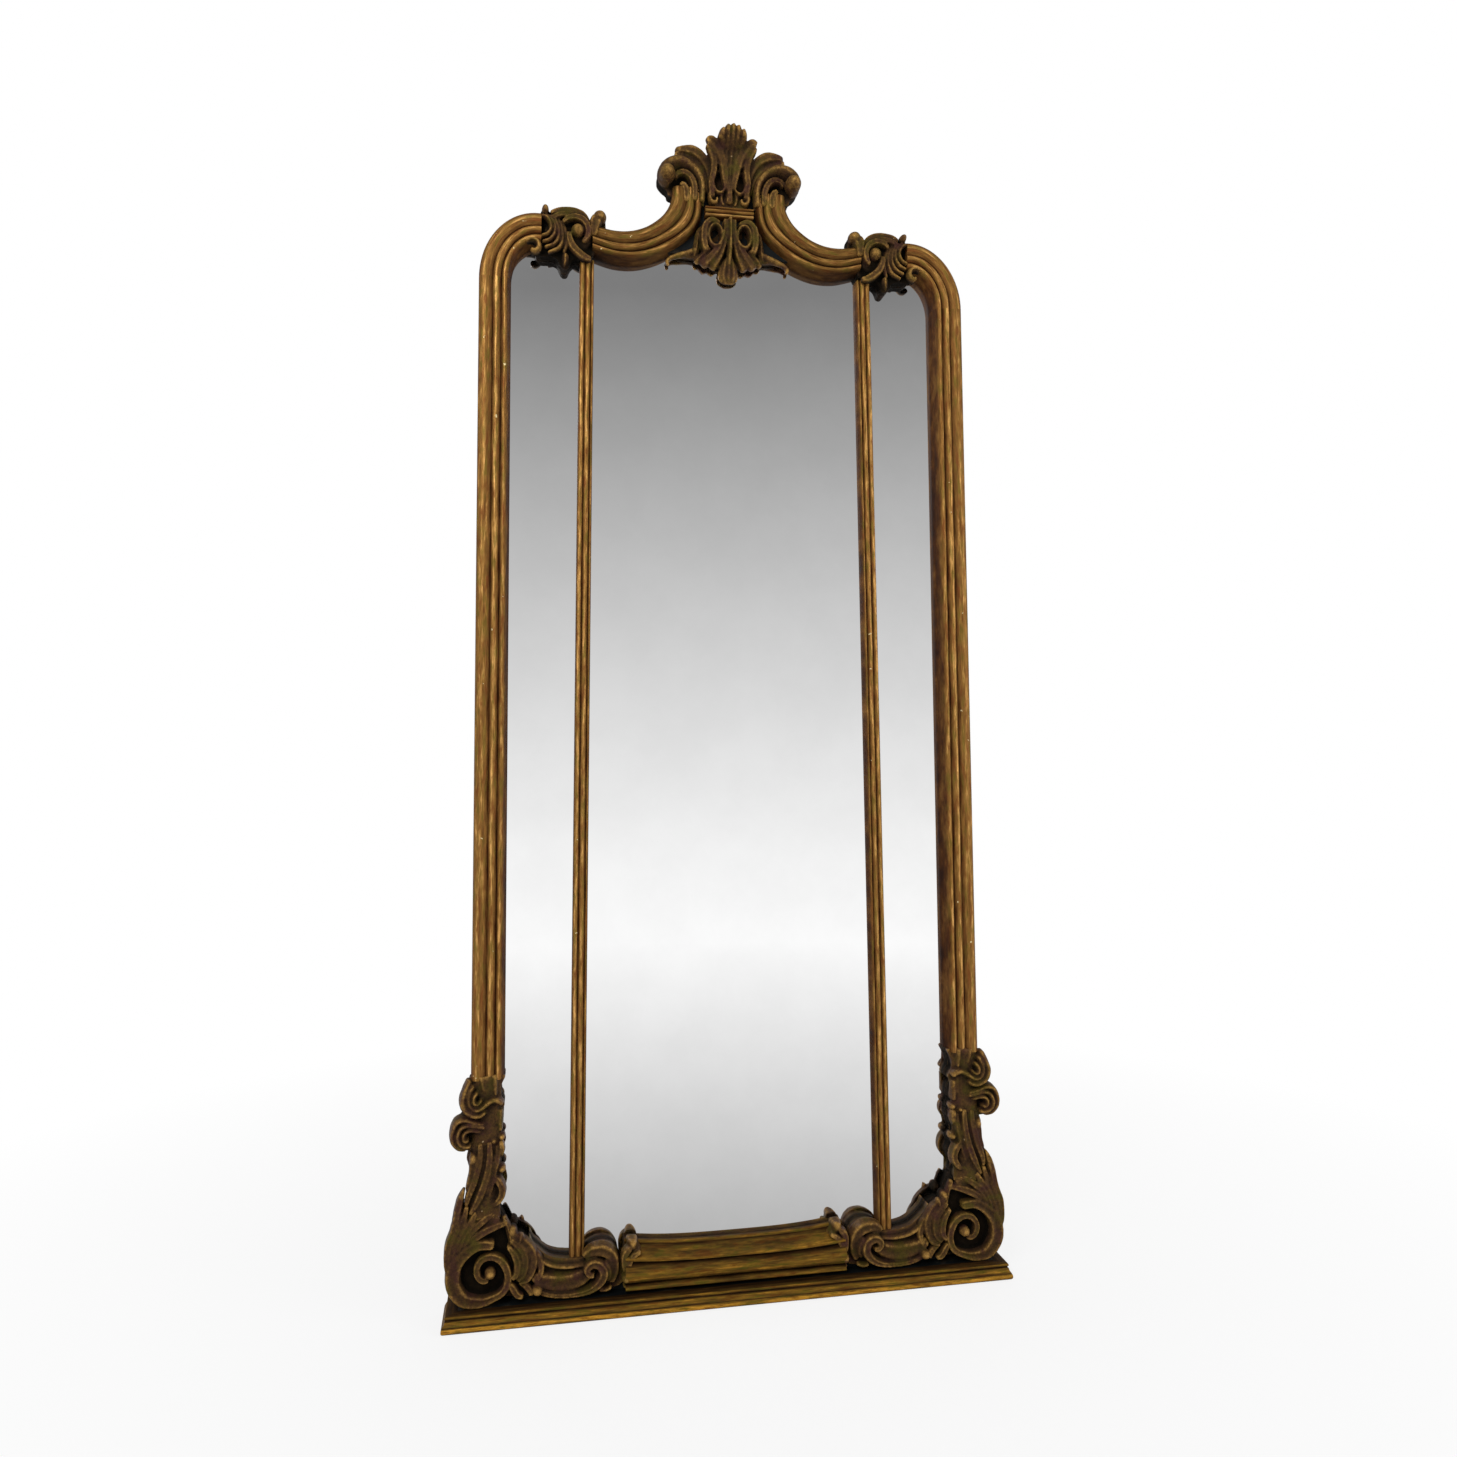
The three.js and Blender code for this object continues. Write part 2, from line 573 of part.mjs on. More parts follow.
const railBottom = plinthHeight + 7;
const baseRailSection = [
  [0, 10], [0.03, -2], [0.1, -7], [0.18, -3], [0.27, -8], [0.34, -6], [0.4, 4], [0.46, -4],
  [0.56, -12], [0.7, -13], [0.8, -5], [0.83, 3], [0.88, -7], [0.94, -9], [0.99, -4], [1, 10],
];
const railLift = (share) => 71 + 15 * Math.abs(share) ** 4;
const baseRail = loft(Array.from({ length: 13 }, (_, i) => {
  const share = i / 6 - 1;
  const x = share * (baseRailHalf - 8);
  return ring(point(x, plinthHeight + railLift(share)), point(x, railBottom), baseRailSection, panelFront);
}));
const railEnds = [1, -1].flatMap((side) => [
  boss([side * (baseRailHalf - 19), plinthHeight + 88], 13, panelFront, 34),
  boss([side * (baseRailHalf - 11), plinthHeight + 22], 10, panelFront, 32),
]);
const baseRailBody = trimmedAcross(
  join([baseRail, ...railEnds]), -baseRailHalf + clearance, baseRailHalf - clearance);
addPiece('base_rail_moulding', toGeometry(baseRailBody), gilt);

// The C-scroll spans from the base rail to the husk: its places are shares of that span.
const scrollSpan = huskInnerX - baseRailHalf;
const onScroll = (share, height) => [baseRailHalf + share * scrollSpan, plinthHeight + height];
const scrollPlate = [
  [0.02, 20], [0.3, 14], [0.65, 7], [1, 8], [1, 92], [0.9, 78], [0.8, 68], [0.68, 61], [0.58, 59], [0.4, 59],
  [0.4, 93], [0.3, 99], [0.18, 99], [0.07, 92], [0, 80],
].map(([share, height]) => onScroll(share, height));
const scrollPaths = [
  { path: [
    [0.98, 19], [0.9, 11], [0.65, 8], [0.35, 15], [0.16, 26], [0.12, 44], [0.24, 57], [0.38, 50], [0.32, 40]],
    half: [5, 4, 4, 5, 6, 6, 6, 5, 4], rise: [26, 26, 28, 30, 32, 32, 32, 32, 30], steps: 15 },
  { path: [[0.99, 78], [0.84, 62], [0.66, 48], [0.5, 44]], half: [8, 7, 5, 3], rise: [24, 22, 18, 12] },
  { path: [[0.37, 72], [0.28, 86], [0.14, 84], [0.05, 64], [0.04, 36]],
    half: [8, 10, 9, 7, 4], rise: [14, 18, 18, 16, 12],
    section: veined, steps: 8 },
].map(({ path, ...rest }) => strip({
  ...rest, path: path.map(([share, height]) => onScroll(share, height)),
}));
const scrollGround = board(scrollPlate, panelFront - 12, panelFront);
const scrollKnob = boss(onScroll(0.97, 21), 10, panelFront, 32);
const scrollBody = trimmedAcross(
  join([scrollGround, scrollKnob, ...scrollPaths]), baseRailHalf, huskInnerX - clearance);
const pilasterSeat = block(
  pilasterFootX - pilasterWidth / 2 - 2, pilasterFootX + pilasterWidth / 2 + 2, -mouldingDepth, glassFront,
  pilasterFoot - clearance, springHeight);
addPair('foot_scroll', toGeometry(largest(cut(scrollBody, [pilasterSeat]))), carved);

// Distances from the frame's outer edge and from the plinth's top
const foot = (dx, height) => [frameHalfWidth + dx, plinthHeight + height];
const onFoot = ({ path, ...rest }) => strip({ ...rest, path: path.map(([dx, height]) => foot(dx, height)) });

const huskOutline = [
  [-110, 9], [-71, 6], [-71, 118], [-78, 124], [-84, 122], [-86, 112], [-100, 98], [-110, 86],
].map(([dx, height]) => foot(dx, height));
const huskStrips = [
  { path: [[-72, 112], [-77, 84], [-77, 56], [-72, 30]], half: [5, 7, 7, 5], rise: [16, 20, 20, 14] },
  { path: [[-76, 118], [-88, 88], [-89, 56], [-82, 22]], half: [4, 6, 7, 5], rise: [16, 22, 24, 18] },
  { path: [[-86, 104], [-99, 80], [-102, 54], [-96, 20]], half: [4, 6, 6, 5], rise: [16, 20, 22, 18] },
].map(onFoot);
addPair('husk_leaf', toGeometry(trimmedAcross(
  join([board(huskOutline, panelFront - 10, panelFront), ...huskStrips]),
  huskInnerX, voluteInnerX - clearance)), carved);

// Volute: a band that winds inwards from its blunt start above the eye, and a fluted sweep
const voluteCentre = foot(-28.5, 53);
const voluteRadii = [47, 53, 57, 50, 38, 36, 35, 31, 27, 23, 19, 12];
const voluteBand = [7, 9, 12, 10, 7, 7, 7, 6.5, 6, 5.5, 5, 4];
const windAngle = (t) => (105 - 455 * t) * Math.PI / 180;
const volutePath = voluteRadii.map((radius, i) => {
  const angle = windAngle(i / (voluteRadii.length - 1));
  return [voluteCentre[0] + radius * Math.cos(angle), voluteCentre[1] + radius * Math.sin(angle)];
});
const voluteOutline = smoothOutline([
  [-71, 8], [-40, 14], [-4, 12], [14, 14], [25, 24], [35, 39], [41, 54], [42, 72], [40, 88], [36, 104],
  [31, 118], [25, 130], [20, 136], [-46, 136], [-58, 124], [-71, 118], [-71, 8],
].map(([dx, height]) => foot(dx, height)));
const sweepStrips = [
  { path: [[16, 134], [26, 108], [36, 80], [37, 56]], half: [5, 5, 4, 2], rise: [26, 30, 28, 20] },
  { path: [[2, 134], [10, 116], [20, 98]], half: [5, 5, 3], rise: [28, 30, 26] },
  { path: [[-14, 134], [-8, 124], [2, 112]], half: [5, 5, 3], rise: [26, 28, 26] },
  { path: [[14, 112], [-10, 124], [-34, 123], [-56, 110], [-66, 88]],
    half: [3, 5, 6, 5, 4], rise: [24, 28, 28, 26, 20], steps: 8 },
].map(onFoot).map((geometry) => geometry.translate(0, 12, 0));
const voluteBody = trimmed(join([
  board(voluteOutline, panelFront - 8, glassFront),
  strip({ path: volutePath, half: voluteBand, rise: 42, rear: glassFront - 2, steps: 24 }),
  boss([voluteCentre[0] - 1, voluteCentre[1]], 9, glassFront - 4, 38),
  ...sweepStrips,
]), voluteInnerX, 2 * frameHalfWidth, plinthHeight + 8, plinthHeight + 133);
addPair('volute', toGeometry(voluteBody), carved);

const stemOutline = smoothOutline([
  [-46, 133], [20, 133], [22, 146], [22, 158], [19, 170], [13, 184], [3, 186], [0, 198], [2, 214], [6, 228],
  [8, 238], [5, 254], [-55, 254], [-51, 240], [-47, 226], [-54, 212], [-50, 200], [-54, 186], [-48, 166],
  [-52, 150], [-46, 133],
].map(([dx, height]) => foot(dx, height)));
const stemStrips = [
  { path: [[14, 133], [18, 158], [9, 184]], half: [4, 6, 4], rise: [26, 28, 18] },
  { path: [[-2, 133], [-6, 166], [-4, 206], [2, 250]], half: [5, 7, 7, 6], rise: [26, 34, 36, 34] },
  { path: [[-20, 133], [-20, 170], [-20, 210], [-14, 254]], half: [6, 8, 8, 7], rise: [28, 36, 38, 36] },
  { path: [[-36, 133], [-36, 160], [-36, 200], [-34, 254]], half: [5, 7, 8, 7], rise: [24, 32, 34, 32] },
  { path: [[-44, 150], [-50, 170], [-44, 196]], half: [4, 6, 4], rise: [22, 26, 22], steps: 6 },
  { path: [[-44, 196], [-50, 214], [-46, 236], [-50, 252]], half: [4, 5, 5, 5], rise: [20, 26, 26, 24] },
].map(onFoot).map((geometry) => geometry.translate(0, 14, 0));
addPair('stem_leaf', toGeometry(trimmed(
  join([board(stemOutline, panelFront - 6, glassFront), ...stemStrips]),
  0, 2 * frameHalfWidth, plinthHeight + 133 + clearance, plinthHeight + 253)), carved);

const collarOutline = smoothOutline([
  [-56, 253], [6, 253], [13, 257], [25, 267], [31, 284], [27, 300], [14, 314], [12, 320], [18, 336], [14, 346],
  [8, 354], [1, 369], [-56, 369], [-60, 350], [-55, 336], [-60, 318], [-58, 300], [-63, 284], [-57, 272],
  [-56, 253],
].map(([dx, height]) => foot(dx, height)));
const collarStrips = [
  { path: [[-6, 254], [12, 262], [24, 274], [25, 292], [13, 303], [2, 294], [4, 280], [12, 282]],
    half: [4, 5, 6, 6, 6, 5, 4, 3], rise: [24, 28, 32, 34, 34, 32, 30, 28], steps: 14 },
  { path: [[-18, 253], [-16, 290], [-8, 330], [10, 344]],
    half: [6, 8, 8, 5], rise: [34, 36, 36, 24], steps: 7 },
  { path: [[-34, 253], [-34, 300], [-30, 340], [-22, 368]],
    half: [7, 8, 8, 8], rise: [34, 38, 38, 34], section: veined, steps: 7 },
  { path: [[-48, 253], [-52, 290], [-50, 330], [-46, 368]],
    half: [6, 7, 7, 7], rise: [26, 32, 34, 30], steps: 7 },
  { path: [[2, 350], [-12, 366]], half: [8, 10], rise: [26, 34], section: veined, steps: 4 },
].map(onFoot).map((geometry) => geometry.translate(0, 14, 0));
addPair('collar', toGeometry(trimmed(
  join([board(collarOutline, panelFront - 6, glassFront), ...collarStrips]),
  0, 2 * frameHalfWidth, plinthHeight + 253 + clearance, uprightFoot - clearance)), carved);

// Plinth: a black board, and a torus, cove and lip mitred round its front and ends
const plinthBoardHalf = plinthHalfWidth - plinthMouldingWidth;
const plinthBoardFront = -plinthFront + plinthMouldingWidth;
addPiece('plinth_board', block(
  -plinthBoardHalf, plinthBoardHalf, plinthBoardFront, back, 0, plinthHeight), black);

// Distance out from the board, and height
const lipReach = plinthMouldingWidth - plinthLipSetback;
const plinthSection = [
  [clearance, 0], [lipReach + 6, 0], [plinthMouldingWidth, 4], [plinthMouldingWidth, 8],
  [lipReach + 6, 12.5], [lipReach + 2.5, 15], [lipReach + 1, 19], [lipReach - 1.5, 20], [lipReach - 1.5, 21.5],
  [lipReach, 22.5], [lipReach, 26], [lipReach - 1.5, plinthHeight], [clearance, plinthHeight],
];
function plinthMoulding(startAt, endAt) {
  const place = (cornerAt) => plinthSection.map(([reach, z]) => {
    const [x, y] = cornerAt(reach);
    return new THREE.Vector3(x, y, z);
  });
  return loftAlong([place(startAt), place(endAt)]);
}

// A straight loft whose ends may be mitred: the caps are the section's own triangles.
function loftAlong([start, end]) {
  const flat = plinthSection.map(([reach, z]) => point(reach, z));
  const size = flat.length;
  const turn = Math.sign(THREE.ShapeUtils.area(flat));
  const faces = start.flatMap((_, j) => {
    const next = (j + 1) % size;
    return [[j, next, next + size], [j, next + size, j + size]];
  });
  for (const [a, b, c] of THREE.ShapeUtils.triangulateShape(flat, [])) {
    const same = Math.sign(THREE.ShapeUtils.area([flat[a], flat[b], flat[c]])) === turn;
    const [first, second] = same ? [a, b] : [b, a];
    faces.push([second, first, c], [first + size, second + size, c + size]);
  }
  const geometry = new THREE.BufferGeometry();
  geometry.setAttribute('position', new THREE.Float32BufferAttribute(
    [...start, ...end].flatMap(({ x, y, z }) => [x, y, z]), 3));
  geometry.setIndex(faces.flat());
  return closed(geometry);
}

addPiece('plinth_front_moulding', plinthMoulding(
  (reach) => [-plinthBoardHalf - reach + clearance, plinthBoardFront - reach],
  (reach) => [plinthBoardHalf + reach - clearance, plinthBoardFront - reach]), gilt);
addPair('plinth_return', plinthMoulding(
  (reach) => [plinthBoardHalf + reach, plinthBoardFront - reach + clearance],
  (reach) => [plinthBoardHalf + reach, back]), gilt);

// The part's own frame: the origin is at the middle of the box's underside.
const box = new THREE.Box3().setFromObject(trumeau);
const middle = box.getCenter(new THREE.Vector3());
trumeau.position.set(-middle.x, -middle.y, -box.min.z);

export default trumeau;
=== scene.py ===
"""A standing trumeau mirror: carved, gessoed and gilded wood round three mirror plates.

Lengths are written in millimetres and turned to metres by mm(). The front faces -Y, and depths
are measured back from the plane of the mouldings' crowns.
"""

import json
import math

import bmesh
import bpy
import numpy as np
from mathutils import Matrix, Vector, noise


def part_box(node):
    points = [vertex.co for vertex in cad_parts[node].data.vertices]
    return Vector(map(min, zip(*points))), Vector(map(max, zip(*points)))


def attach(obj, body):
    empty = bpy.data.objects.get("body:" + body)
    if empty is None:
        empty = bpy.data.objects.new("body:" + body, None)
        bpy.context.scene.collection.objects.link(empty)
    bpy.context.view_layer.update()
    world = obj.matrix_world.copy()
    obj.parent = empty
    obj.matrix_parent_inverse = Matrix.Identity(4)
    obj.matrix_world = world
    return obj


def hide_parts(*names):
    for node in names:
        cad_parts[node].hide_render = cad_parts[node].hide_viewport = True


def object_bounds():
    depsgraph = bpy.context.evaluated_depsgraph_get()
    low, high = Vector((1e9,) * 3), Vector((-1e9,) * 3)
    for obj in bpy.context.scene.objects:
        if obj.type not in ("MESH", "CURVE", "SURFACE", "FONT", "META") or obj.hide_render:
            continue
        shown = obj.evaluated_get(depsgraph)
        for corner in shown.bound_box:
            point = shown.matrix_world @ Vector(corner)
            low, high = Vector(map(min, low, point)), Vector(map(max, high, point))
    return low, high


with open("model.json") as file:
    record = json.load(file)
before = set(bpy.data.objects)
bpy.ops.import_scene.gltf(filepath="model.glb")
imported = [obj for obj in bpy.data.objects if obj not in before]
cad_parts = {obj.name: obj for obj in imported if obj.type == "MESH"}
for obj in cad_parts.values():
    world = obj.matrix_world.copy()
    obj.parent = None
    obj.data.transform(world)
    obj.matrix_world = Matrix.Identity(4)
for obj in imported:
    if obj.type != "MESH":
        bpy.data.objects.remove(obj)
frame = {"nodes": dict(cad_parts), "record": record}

cad_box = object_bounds()
scene = bpy.context.scene
MM = 0.001

# Depth of the plates behind the face plane, in which the mouldings' crowns lie
GLASS = 38
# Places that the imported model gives
GLASS_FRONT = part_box("centre_mirror_plate")[0].y / MM
FACE = GLASS_FRONT - GLASS
BACK = cad_box[1].y / MM
HALF_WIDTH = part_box("right_upright_moulding")[1].x / MM
PLINTH_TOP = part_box("plinth_board")[1].z / MM
UPRIGHT_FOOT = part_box("right_upright_moulding")[0].z / MM
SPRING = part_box("right_upright_moulding")[1].z / MM
ARCH_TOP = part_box("right_corner_moulding")[1].z / MM
BAR_CENTRE = (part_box("crest_bar")[0].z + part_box("crest_bar")[1].z) / 2 / MM
CREST_TIP = cad_box[1].z / MM
# Half the gap between the arms at the crest, and the run of the corner's arc along the top
NECK_HALF = 47
MOULDING_WIDTH = 56
CORNER_RUN = 103.5
# The shoulder ornament's two sides, along the top
SHOULDER_OUTER = HALF_WIDTH - CORNER_RUN - 6
SHOULDER_INNER = SHOULDER_OUTER - 92


def mm(x, depth, z):
    """A point in metres from a place in millimetres: depth counts back from the face plane."""
    return Vector((x, FACE + depth, z)) * MM


# ---------------------------------------------------------------- materials

def linear(hex_colour):
    """sRGB hex to a linear RGBA colour."""
    channels = [int(hex_colour[i:i + 2], 16) / 255 for i in (1, 3, 5)]
    return [c / 12.92 if c <= 0.04045 else ((c + 0.055) / 1.055) ** 2.4 for c in channels] + [1.0]


def add(tree, kind, settings=None, stops=None, **inputs):
    """Adds a node: settings are its properties, stops its colour ramp, inputs its values or links."""
    node = tree.nodes.new(kind)
    for name, value in (settings or {}).items():
        setattr(node, name, value)
    if stops:
        elements = node.color_ramp.elements
        while len(elements) < len(stops):
            elements.new(0.5)
        for element, (place, colour) in zip(elements, stops):
            element.position = place
            element.color = linear(colour)
    for name, value in inputs.items():
        socket = node.inputs[int(name[2:]) if name.startswith("in") else name.replace("_", " ")]
        if isinstance(value, bpy.types.NodeSocket):
            tree.links.new(value, socket)
        else:
            socket.default_value = value
    return node


def new_material(name):
    """A material with one principled shader on its output."""
    material = bpy.data.materials.new(name)
    material.use_nodes = True
    tree = material.node_tree
    tree.nodes.clear()
    shader = add(tree, "ShaderNodeBsdfPrincipled")
    output = add(tree, "ShaderNodeOutputMaterial", Surface=shader.outputs[0])
    return material, tree, shader, output


MIX = {"data_type": "RGBA"}


def gilding(name, tones, tint, patch, bare, shine, speck_edge, vary, run=False):
    """Worn bronze gilding over gesso: wax and painted shade in the hollows, rubbed wear and painted
    highlight on the ridges.

    The relief attribute is 0 in a groove, 0.5 on the flat and 1 on a ridge, and tones are the
    colours from the one to the other; vary is how much they wander. With run the brush marks
    follow a moulding's length.
    """
    material, tree, shader, _ = new_material(name)
    place = add(tree, "ShaderNodeTexCoord").outputs["Object"]
    if run:
        length = add(tree, "ShaderNodeAttribute", {"attribute_name": "run"}).outputs["Vector"]
        stroke = add(tree, "ShaderNodeMapping", in0=length, Scale=(1, 0.07, 1)).outputs[0]
        streak = add(tree, "ShaderNodeMapping", in0=length, Scale=(5, 0.9, 1)).outputs[0]
    else:
        stroke = streak = place
    relief = add(tree, "ShaderNodeAttribute", {"attribute_name": "relief"}).outputs["Fac"]
    # Patches a few centimetres long, brush strokes about 4 mm wide, and grain under 1 mm
    cloud = add(tree, "ShaderNodeTexNoise", Vector=streak, Scale=28.0, Detail=5.0, Roughness=0.6)
    brush = add(tree, "ShaderNodeTexNoise", Vector=stroke, Scale=190.0, Detail=4.0, Roughness=0.65)
    grain = add(tree, "ShaderNodeTexNoise", Vector=stroke, Scale=700.0, Detail=3.0, Roughness=0.6)
    uneven = add(tree, "ShaderNodeMapRange", Value=brush.outputs["Fac"], in1=0.3, in2=0.7, in3=-vary,
                 in4=vary)
    height = add(tree, "ShaderNodeMath", {"operation": "ADD"}, in0=relief, in1=uneven.outputs[0])
    places = [i / (len(tones) - 1) for i in range(len(tones))]
    # The relief picks the tone: dark in grooves as wax and painted shade, bright on ridges as rubbed wear
    # and painted highlight
    mapped = add(tree, "ShaderNodeValToRGB", stops=list(zip(places, tones)), Fac=height.outputs[0])
    # The gilding drifts to a greener and a redder tone, except in the dark hollows
    keep = add(tree, "ShaderNodeMapRange", Value=relief, in1=0.25, in2=0.6)
    green = add(tree, "ShaderNodeMapRange", Value=cloud.outputs["Fac"], in1=0.52, in2=0.64, in3=0.0,
                in4=0.7)
    red = add(tree, "ShaderNodeMapRange", Value=cloud.outputs["Fac"], in1=0.46, in2=0.36, in3=0.0,
              in4=0.7)
    greened = add(tree, "ShaderNodeMath", {"operation": "MULTIPLY"}, in0=keep.outputs[0],
                  in1=green.outputs[0])
    reddened = add(tree, "ShaderNodeMath", {"operation": "MULTIPLY"}, in0=keep.outputs[0],
                   in1=red.outputs[0])
    first = add(tree, "ShaderNodeMix", MIX, in0=greened.outputs[0], in6=mapped.outputs[0], in7=linear(tint))
    second = add(tree, "ShaderNodeMix", MIX, in0=reddened.outputs[0], in6=first.outputs["Result"],
                 in7=linear(patch))
    tone = add(tree, "ShaderNodeMapRange", Value=grain.outputs["Fac"], in1=0.3, in2=0.7, in3=0.72,
               in4=1.3)
    toned = add(tree, "ShaderNodeVectorMath", {"operation": "SCALE"}, in0=second.outputs["Result"],
                Scale=tone.outputs[0])
    # Chips down to the cream gesso, a few millimetres wide, on what stands proud
    chips = add(tree, "ShaderNodeTexNoise", Vector=place, Scale=70.0, Detail=3.0, Roughness=0.55)
    proud = add(tree, "ShaderNodeMath", {"operation": "MULTIPLY_ADD"}, in0=relief, in1=0.1,
                in2=chips.outputs["Fac"])
    chip = add(tree, "ShaderNodeMapRange", Value=proud.outputs[0], in1=speck_edge, in2=speck_edge + 0.012)
    colour = add(tree, "ShaderNodeMix", MIX, in0=chip.outputs[0], in6=toned.outputs[0], in7=linear(bare))
    tree.links.new(colour.outputs["Result"], shader.inputs["Base Color"])
    # Matt in the hollows, and burnished by rubbing on the ridges
    matt = add(tree, "ShaderNodeMapRange", Value=relief, in1=0.1, in2=0.8, in3=0.85, in4=0.36)
    streaky = add(tree, "ShaderNodeMapRange", Value=brush.outputs["Fac"], in1=0.3, in2=0.7, in3=-0.06,
                  in4=0.12)
    rough = add(tree, "ShaderNodeMath", {"operation": "ADD"}, in0=matt.outputs[0], in1=streaky.outputs[0])
    tree.links.new(rough.outputs[0], shader.inputs["Roughness"])
    metal = add(tree, "ShaderNodeMapRange", Value=relief, in1=0.1, in2=0.6, in3=0.0, in4=shine)
    tree.links.new(metal.outputs[0], shader.inputs["Metallic"])
    shader.inputs["Specular IOR Level"].default_value = 0.25
    shader.inputs["Specular Tint"].default_value = linear("#b08a58")
    marks = add(tree, "ShaderNodeMath", {"operation": "ADD"}, in0=grain.outputs["Fac"],
                in1=brush.outputs["Fac"])
    bump = add(tree, "ShaderNodeBump", Strength=0.4, Distance=0.0007, Height=marks.outputs[0])
    tree.links.new(bump.outputs[0], shader.inputs["Normal"])
    return material


# Bronze-powder gilding on the run mouldings, brushed along their length, rubbed and given painted
# highlight on the crowns, with painted shade in the grooves
moulding_gilt = gilding(
    "brushed_bronze_gilding", ["#2a1209", "#4a2b13", "#6f4c27", "#8f6733", "#dba862"],
    "#6a5c24", "#713e20", "#dcc896", 0.3, 0.79, 0.3, run=True)
# The same on the arms, which have kept more of their brown toning
arm_gilt = gilding(
    "toned_bronze_gilding", ["#1e0e07", "#3c2410", "#5c4020", "#7c5a2c", "#c08e50"],
    "#56501c", "#5c3219", "#dcc896", 0.3, 0.79, 0.3, run=True)
# The base's mouldings, where handling and damp have turned the gilding darker and greener
base_gilt = gilding(
    "darkened_bronze_gilding", ["#120a05", "#2f1d0d", "#4c3718", "#7a5920", "#c08a30"],
    "#4e4a16", "#5a3312", "#b79d78", 0.3, 0.83, 0.24, run=True)
# The same gilding on carving, toned down with dark wax, and black in the hollows as wax and painted shade
carving_gilt = gilding(
    "waxed_and_shade_painted_bronze_gilding", ["#060808", "#15110d", "#33251a", "#563e23", "#a07a40"],
    "#484118", "#3f2524", "#b79d78", 0.2, 0.83, 0.12)


def black_paint():
    """Lamp-black casein paint over pine, brushed on by hand: matt, with brown wear."""
    material, tree, shader, _ = new_material("brushed_black_casein_paint")
    place = add(tree, "ShaderNodeTexCoord").outputs["Object"]
    along = add(tree, "ShaderNodeMapping", in0=place, Scale=(0.2, 1, 1))
    brush = add(tree, "ShaderNodeTexNoise", Vector=along.outputs[0], Scale=160.0, Detail=4.0,
                Roughness=0.6)
    wear = add(tree, "ShaderNodeTexNoise", Vector=place, Scale=22.0, Detail=6.0, Roughness=0.65)
    mapped = add(tree, "ShaderNodeMapRange", Value=wear.outputs["Fac"], in1=0.56, in2=0.72, in3=0.0,
               in4=0.7)
    tone = add(tree, "ShaderNodeValToRGB", stops=[(0.3, "#080b0c"), (0.7, "#131718")],
               Fac=brush.outputs["Fac"])
    colour = add(tree, "ShaderNodeMix", MIX, in0=mapped.outputs[0], in6=tone.outputs[0],
                 in7=linear("#3a3023"))
    tree.links.new(colour.outputs["Result"], shader.inputs["Base Color"])
    rough = add(tree, "ShaderNodeMapRange", Value=brush.outputs["Fac"], in1=0.3, in2=0.7, in3=0.5,
                in4=0.72)
    tree.links.new(rough.outputs[0], shader.inputs["Roughness"])
    shader.inputs["Specular IOR Level"].default_value = 0.15
    bump = add(tree, "ShaderNodeBump", Strength=0.25, Distance=0.0005, Height=brush.outputs["Fac"])
    tree.links.new(bump.outputs[0], shader.inputs["Normal"])
    return material


def silvered_glass():
    """Polished silvered plate: a cool mirror with the faintest haze of age."""
    material, tree, shader, _ = new_material("silvered_plate_glass")
    place = add(tree, "ShaderNodeTexCoord").outputs["Object"]
    haze = add(tree, "ShaderNodeTexNoise", Vector=place, Scale=9.0, Detail=5.0, Roughness=0.6)
    tone = add(tree, "ShaderNodeValToRGB", stops=[(0.35, "#f8f8f8"), (0.65, "#fcfcfc")],
               Fac=haze.outputs["Fac"])
    tree.links.new(tone.outputs[0], shader.inputs["Base Color"])
    rough = add(tree, "ShaderNodeMapRange", Value=haze.outputs["Fac"], in1=0.4, in2=0.7, in3=0.004,
                in4=0.008)
    tree.links.new(rough.outputs[0], shader.inputs["Roughness"])
    shader.inputs["Metallic"].default_value = 1.0
    return material


def pine(name, early, late, dirt):
    """Planed pine, aged: pale early wood between darker late-wood lines, with grime."""
    material, tree, shader, _ = new_material(name)
    place = add(tree, "ShaderNodeTexCoord").outputs["Object"]
    sheared = add(tree, "ShaderNodeMapping", in0=place, Scale=(1, 1, 0.05))
    bend = add(tree, "ShaderNodeTexNoise", Vector=sheared.outputs[0], Scale=9.0, Detail=3.0)
    ring = add(tree, "ShaderNodeTexWave", {"bands_direction": "X"}, Vector=sheared.outputs[0], Scale=60.0,
               Distortion=7.0, Detail=2.0, Detail_Scale=1.2)
    fibre = add(tree, "ShaderNodeTexNoise", Vector=sheared.outputs[0], Scale=900.0, Detail=2.0)
    grain = add(tree, "ShaderNodeMix", MIX, in0=ring.outputs["Fac"], in6=linear(early), in7=linear(late))
    grime = add(tree, "ShaderNodeMapRange", Value=bend.outputs["Fac"], in1=0.45, in2=0.75, in3=0.0,
                in4=0.6)
    colour = add(tree, "ShaderNodeMix", MIX, in0=grime.outputs[0], in6=grain.outputs["Result"],
                 in7=linear(dirt))
    tree.links.new(colour.outputs["Result"], shader.inputs["Base Color"])
    rough = add(tree, "ShaderNodeMapRange", Value=fibre.outputs["Fac"], in1=0.3, in2=0.7, in3=0.65,
                in4=0.9)
    tree.links.new(rough.outputs[0], shader.inputs["Roughness"])
    bump = add(tree, "ShaderNodeBump", Strength=0.3, Distance=0.0004, Height=fibre.outputs["Fac"])
    tree.links.new(bump.outputs[0], shader.inputs["Normal"])
    return material


panel_black = black_paint()
plate_glass = silvered_glass()
carcass_pine = pine("planed_pine_carcass", "#8a6a45", "#5f4226", "#3c2c1d")
board_pine = pine("sawn_pine_boards", "#7d6040", "#553b22", "#352719")

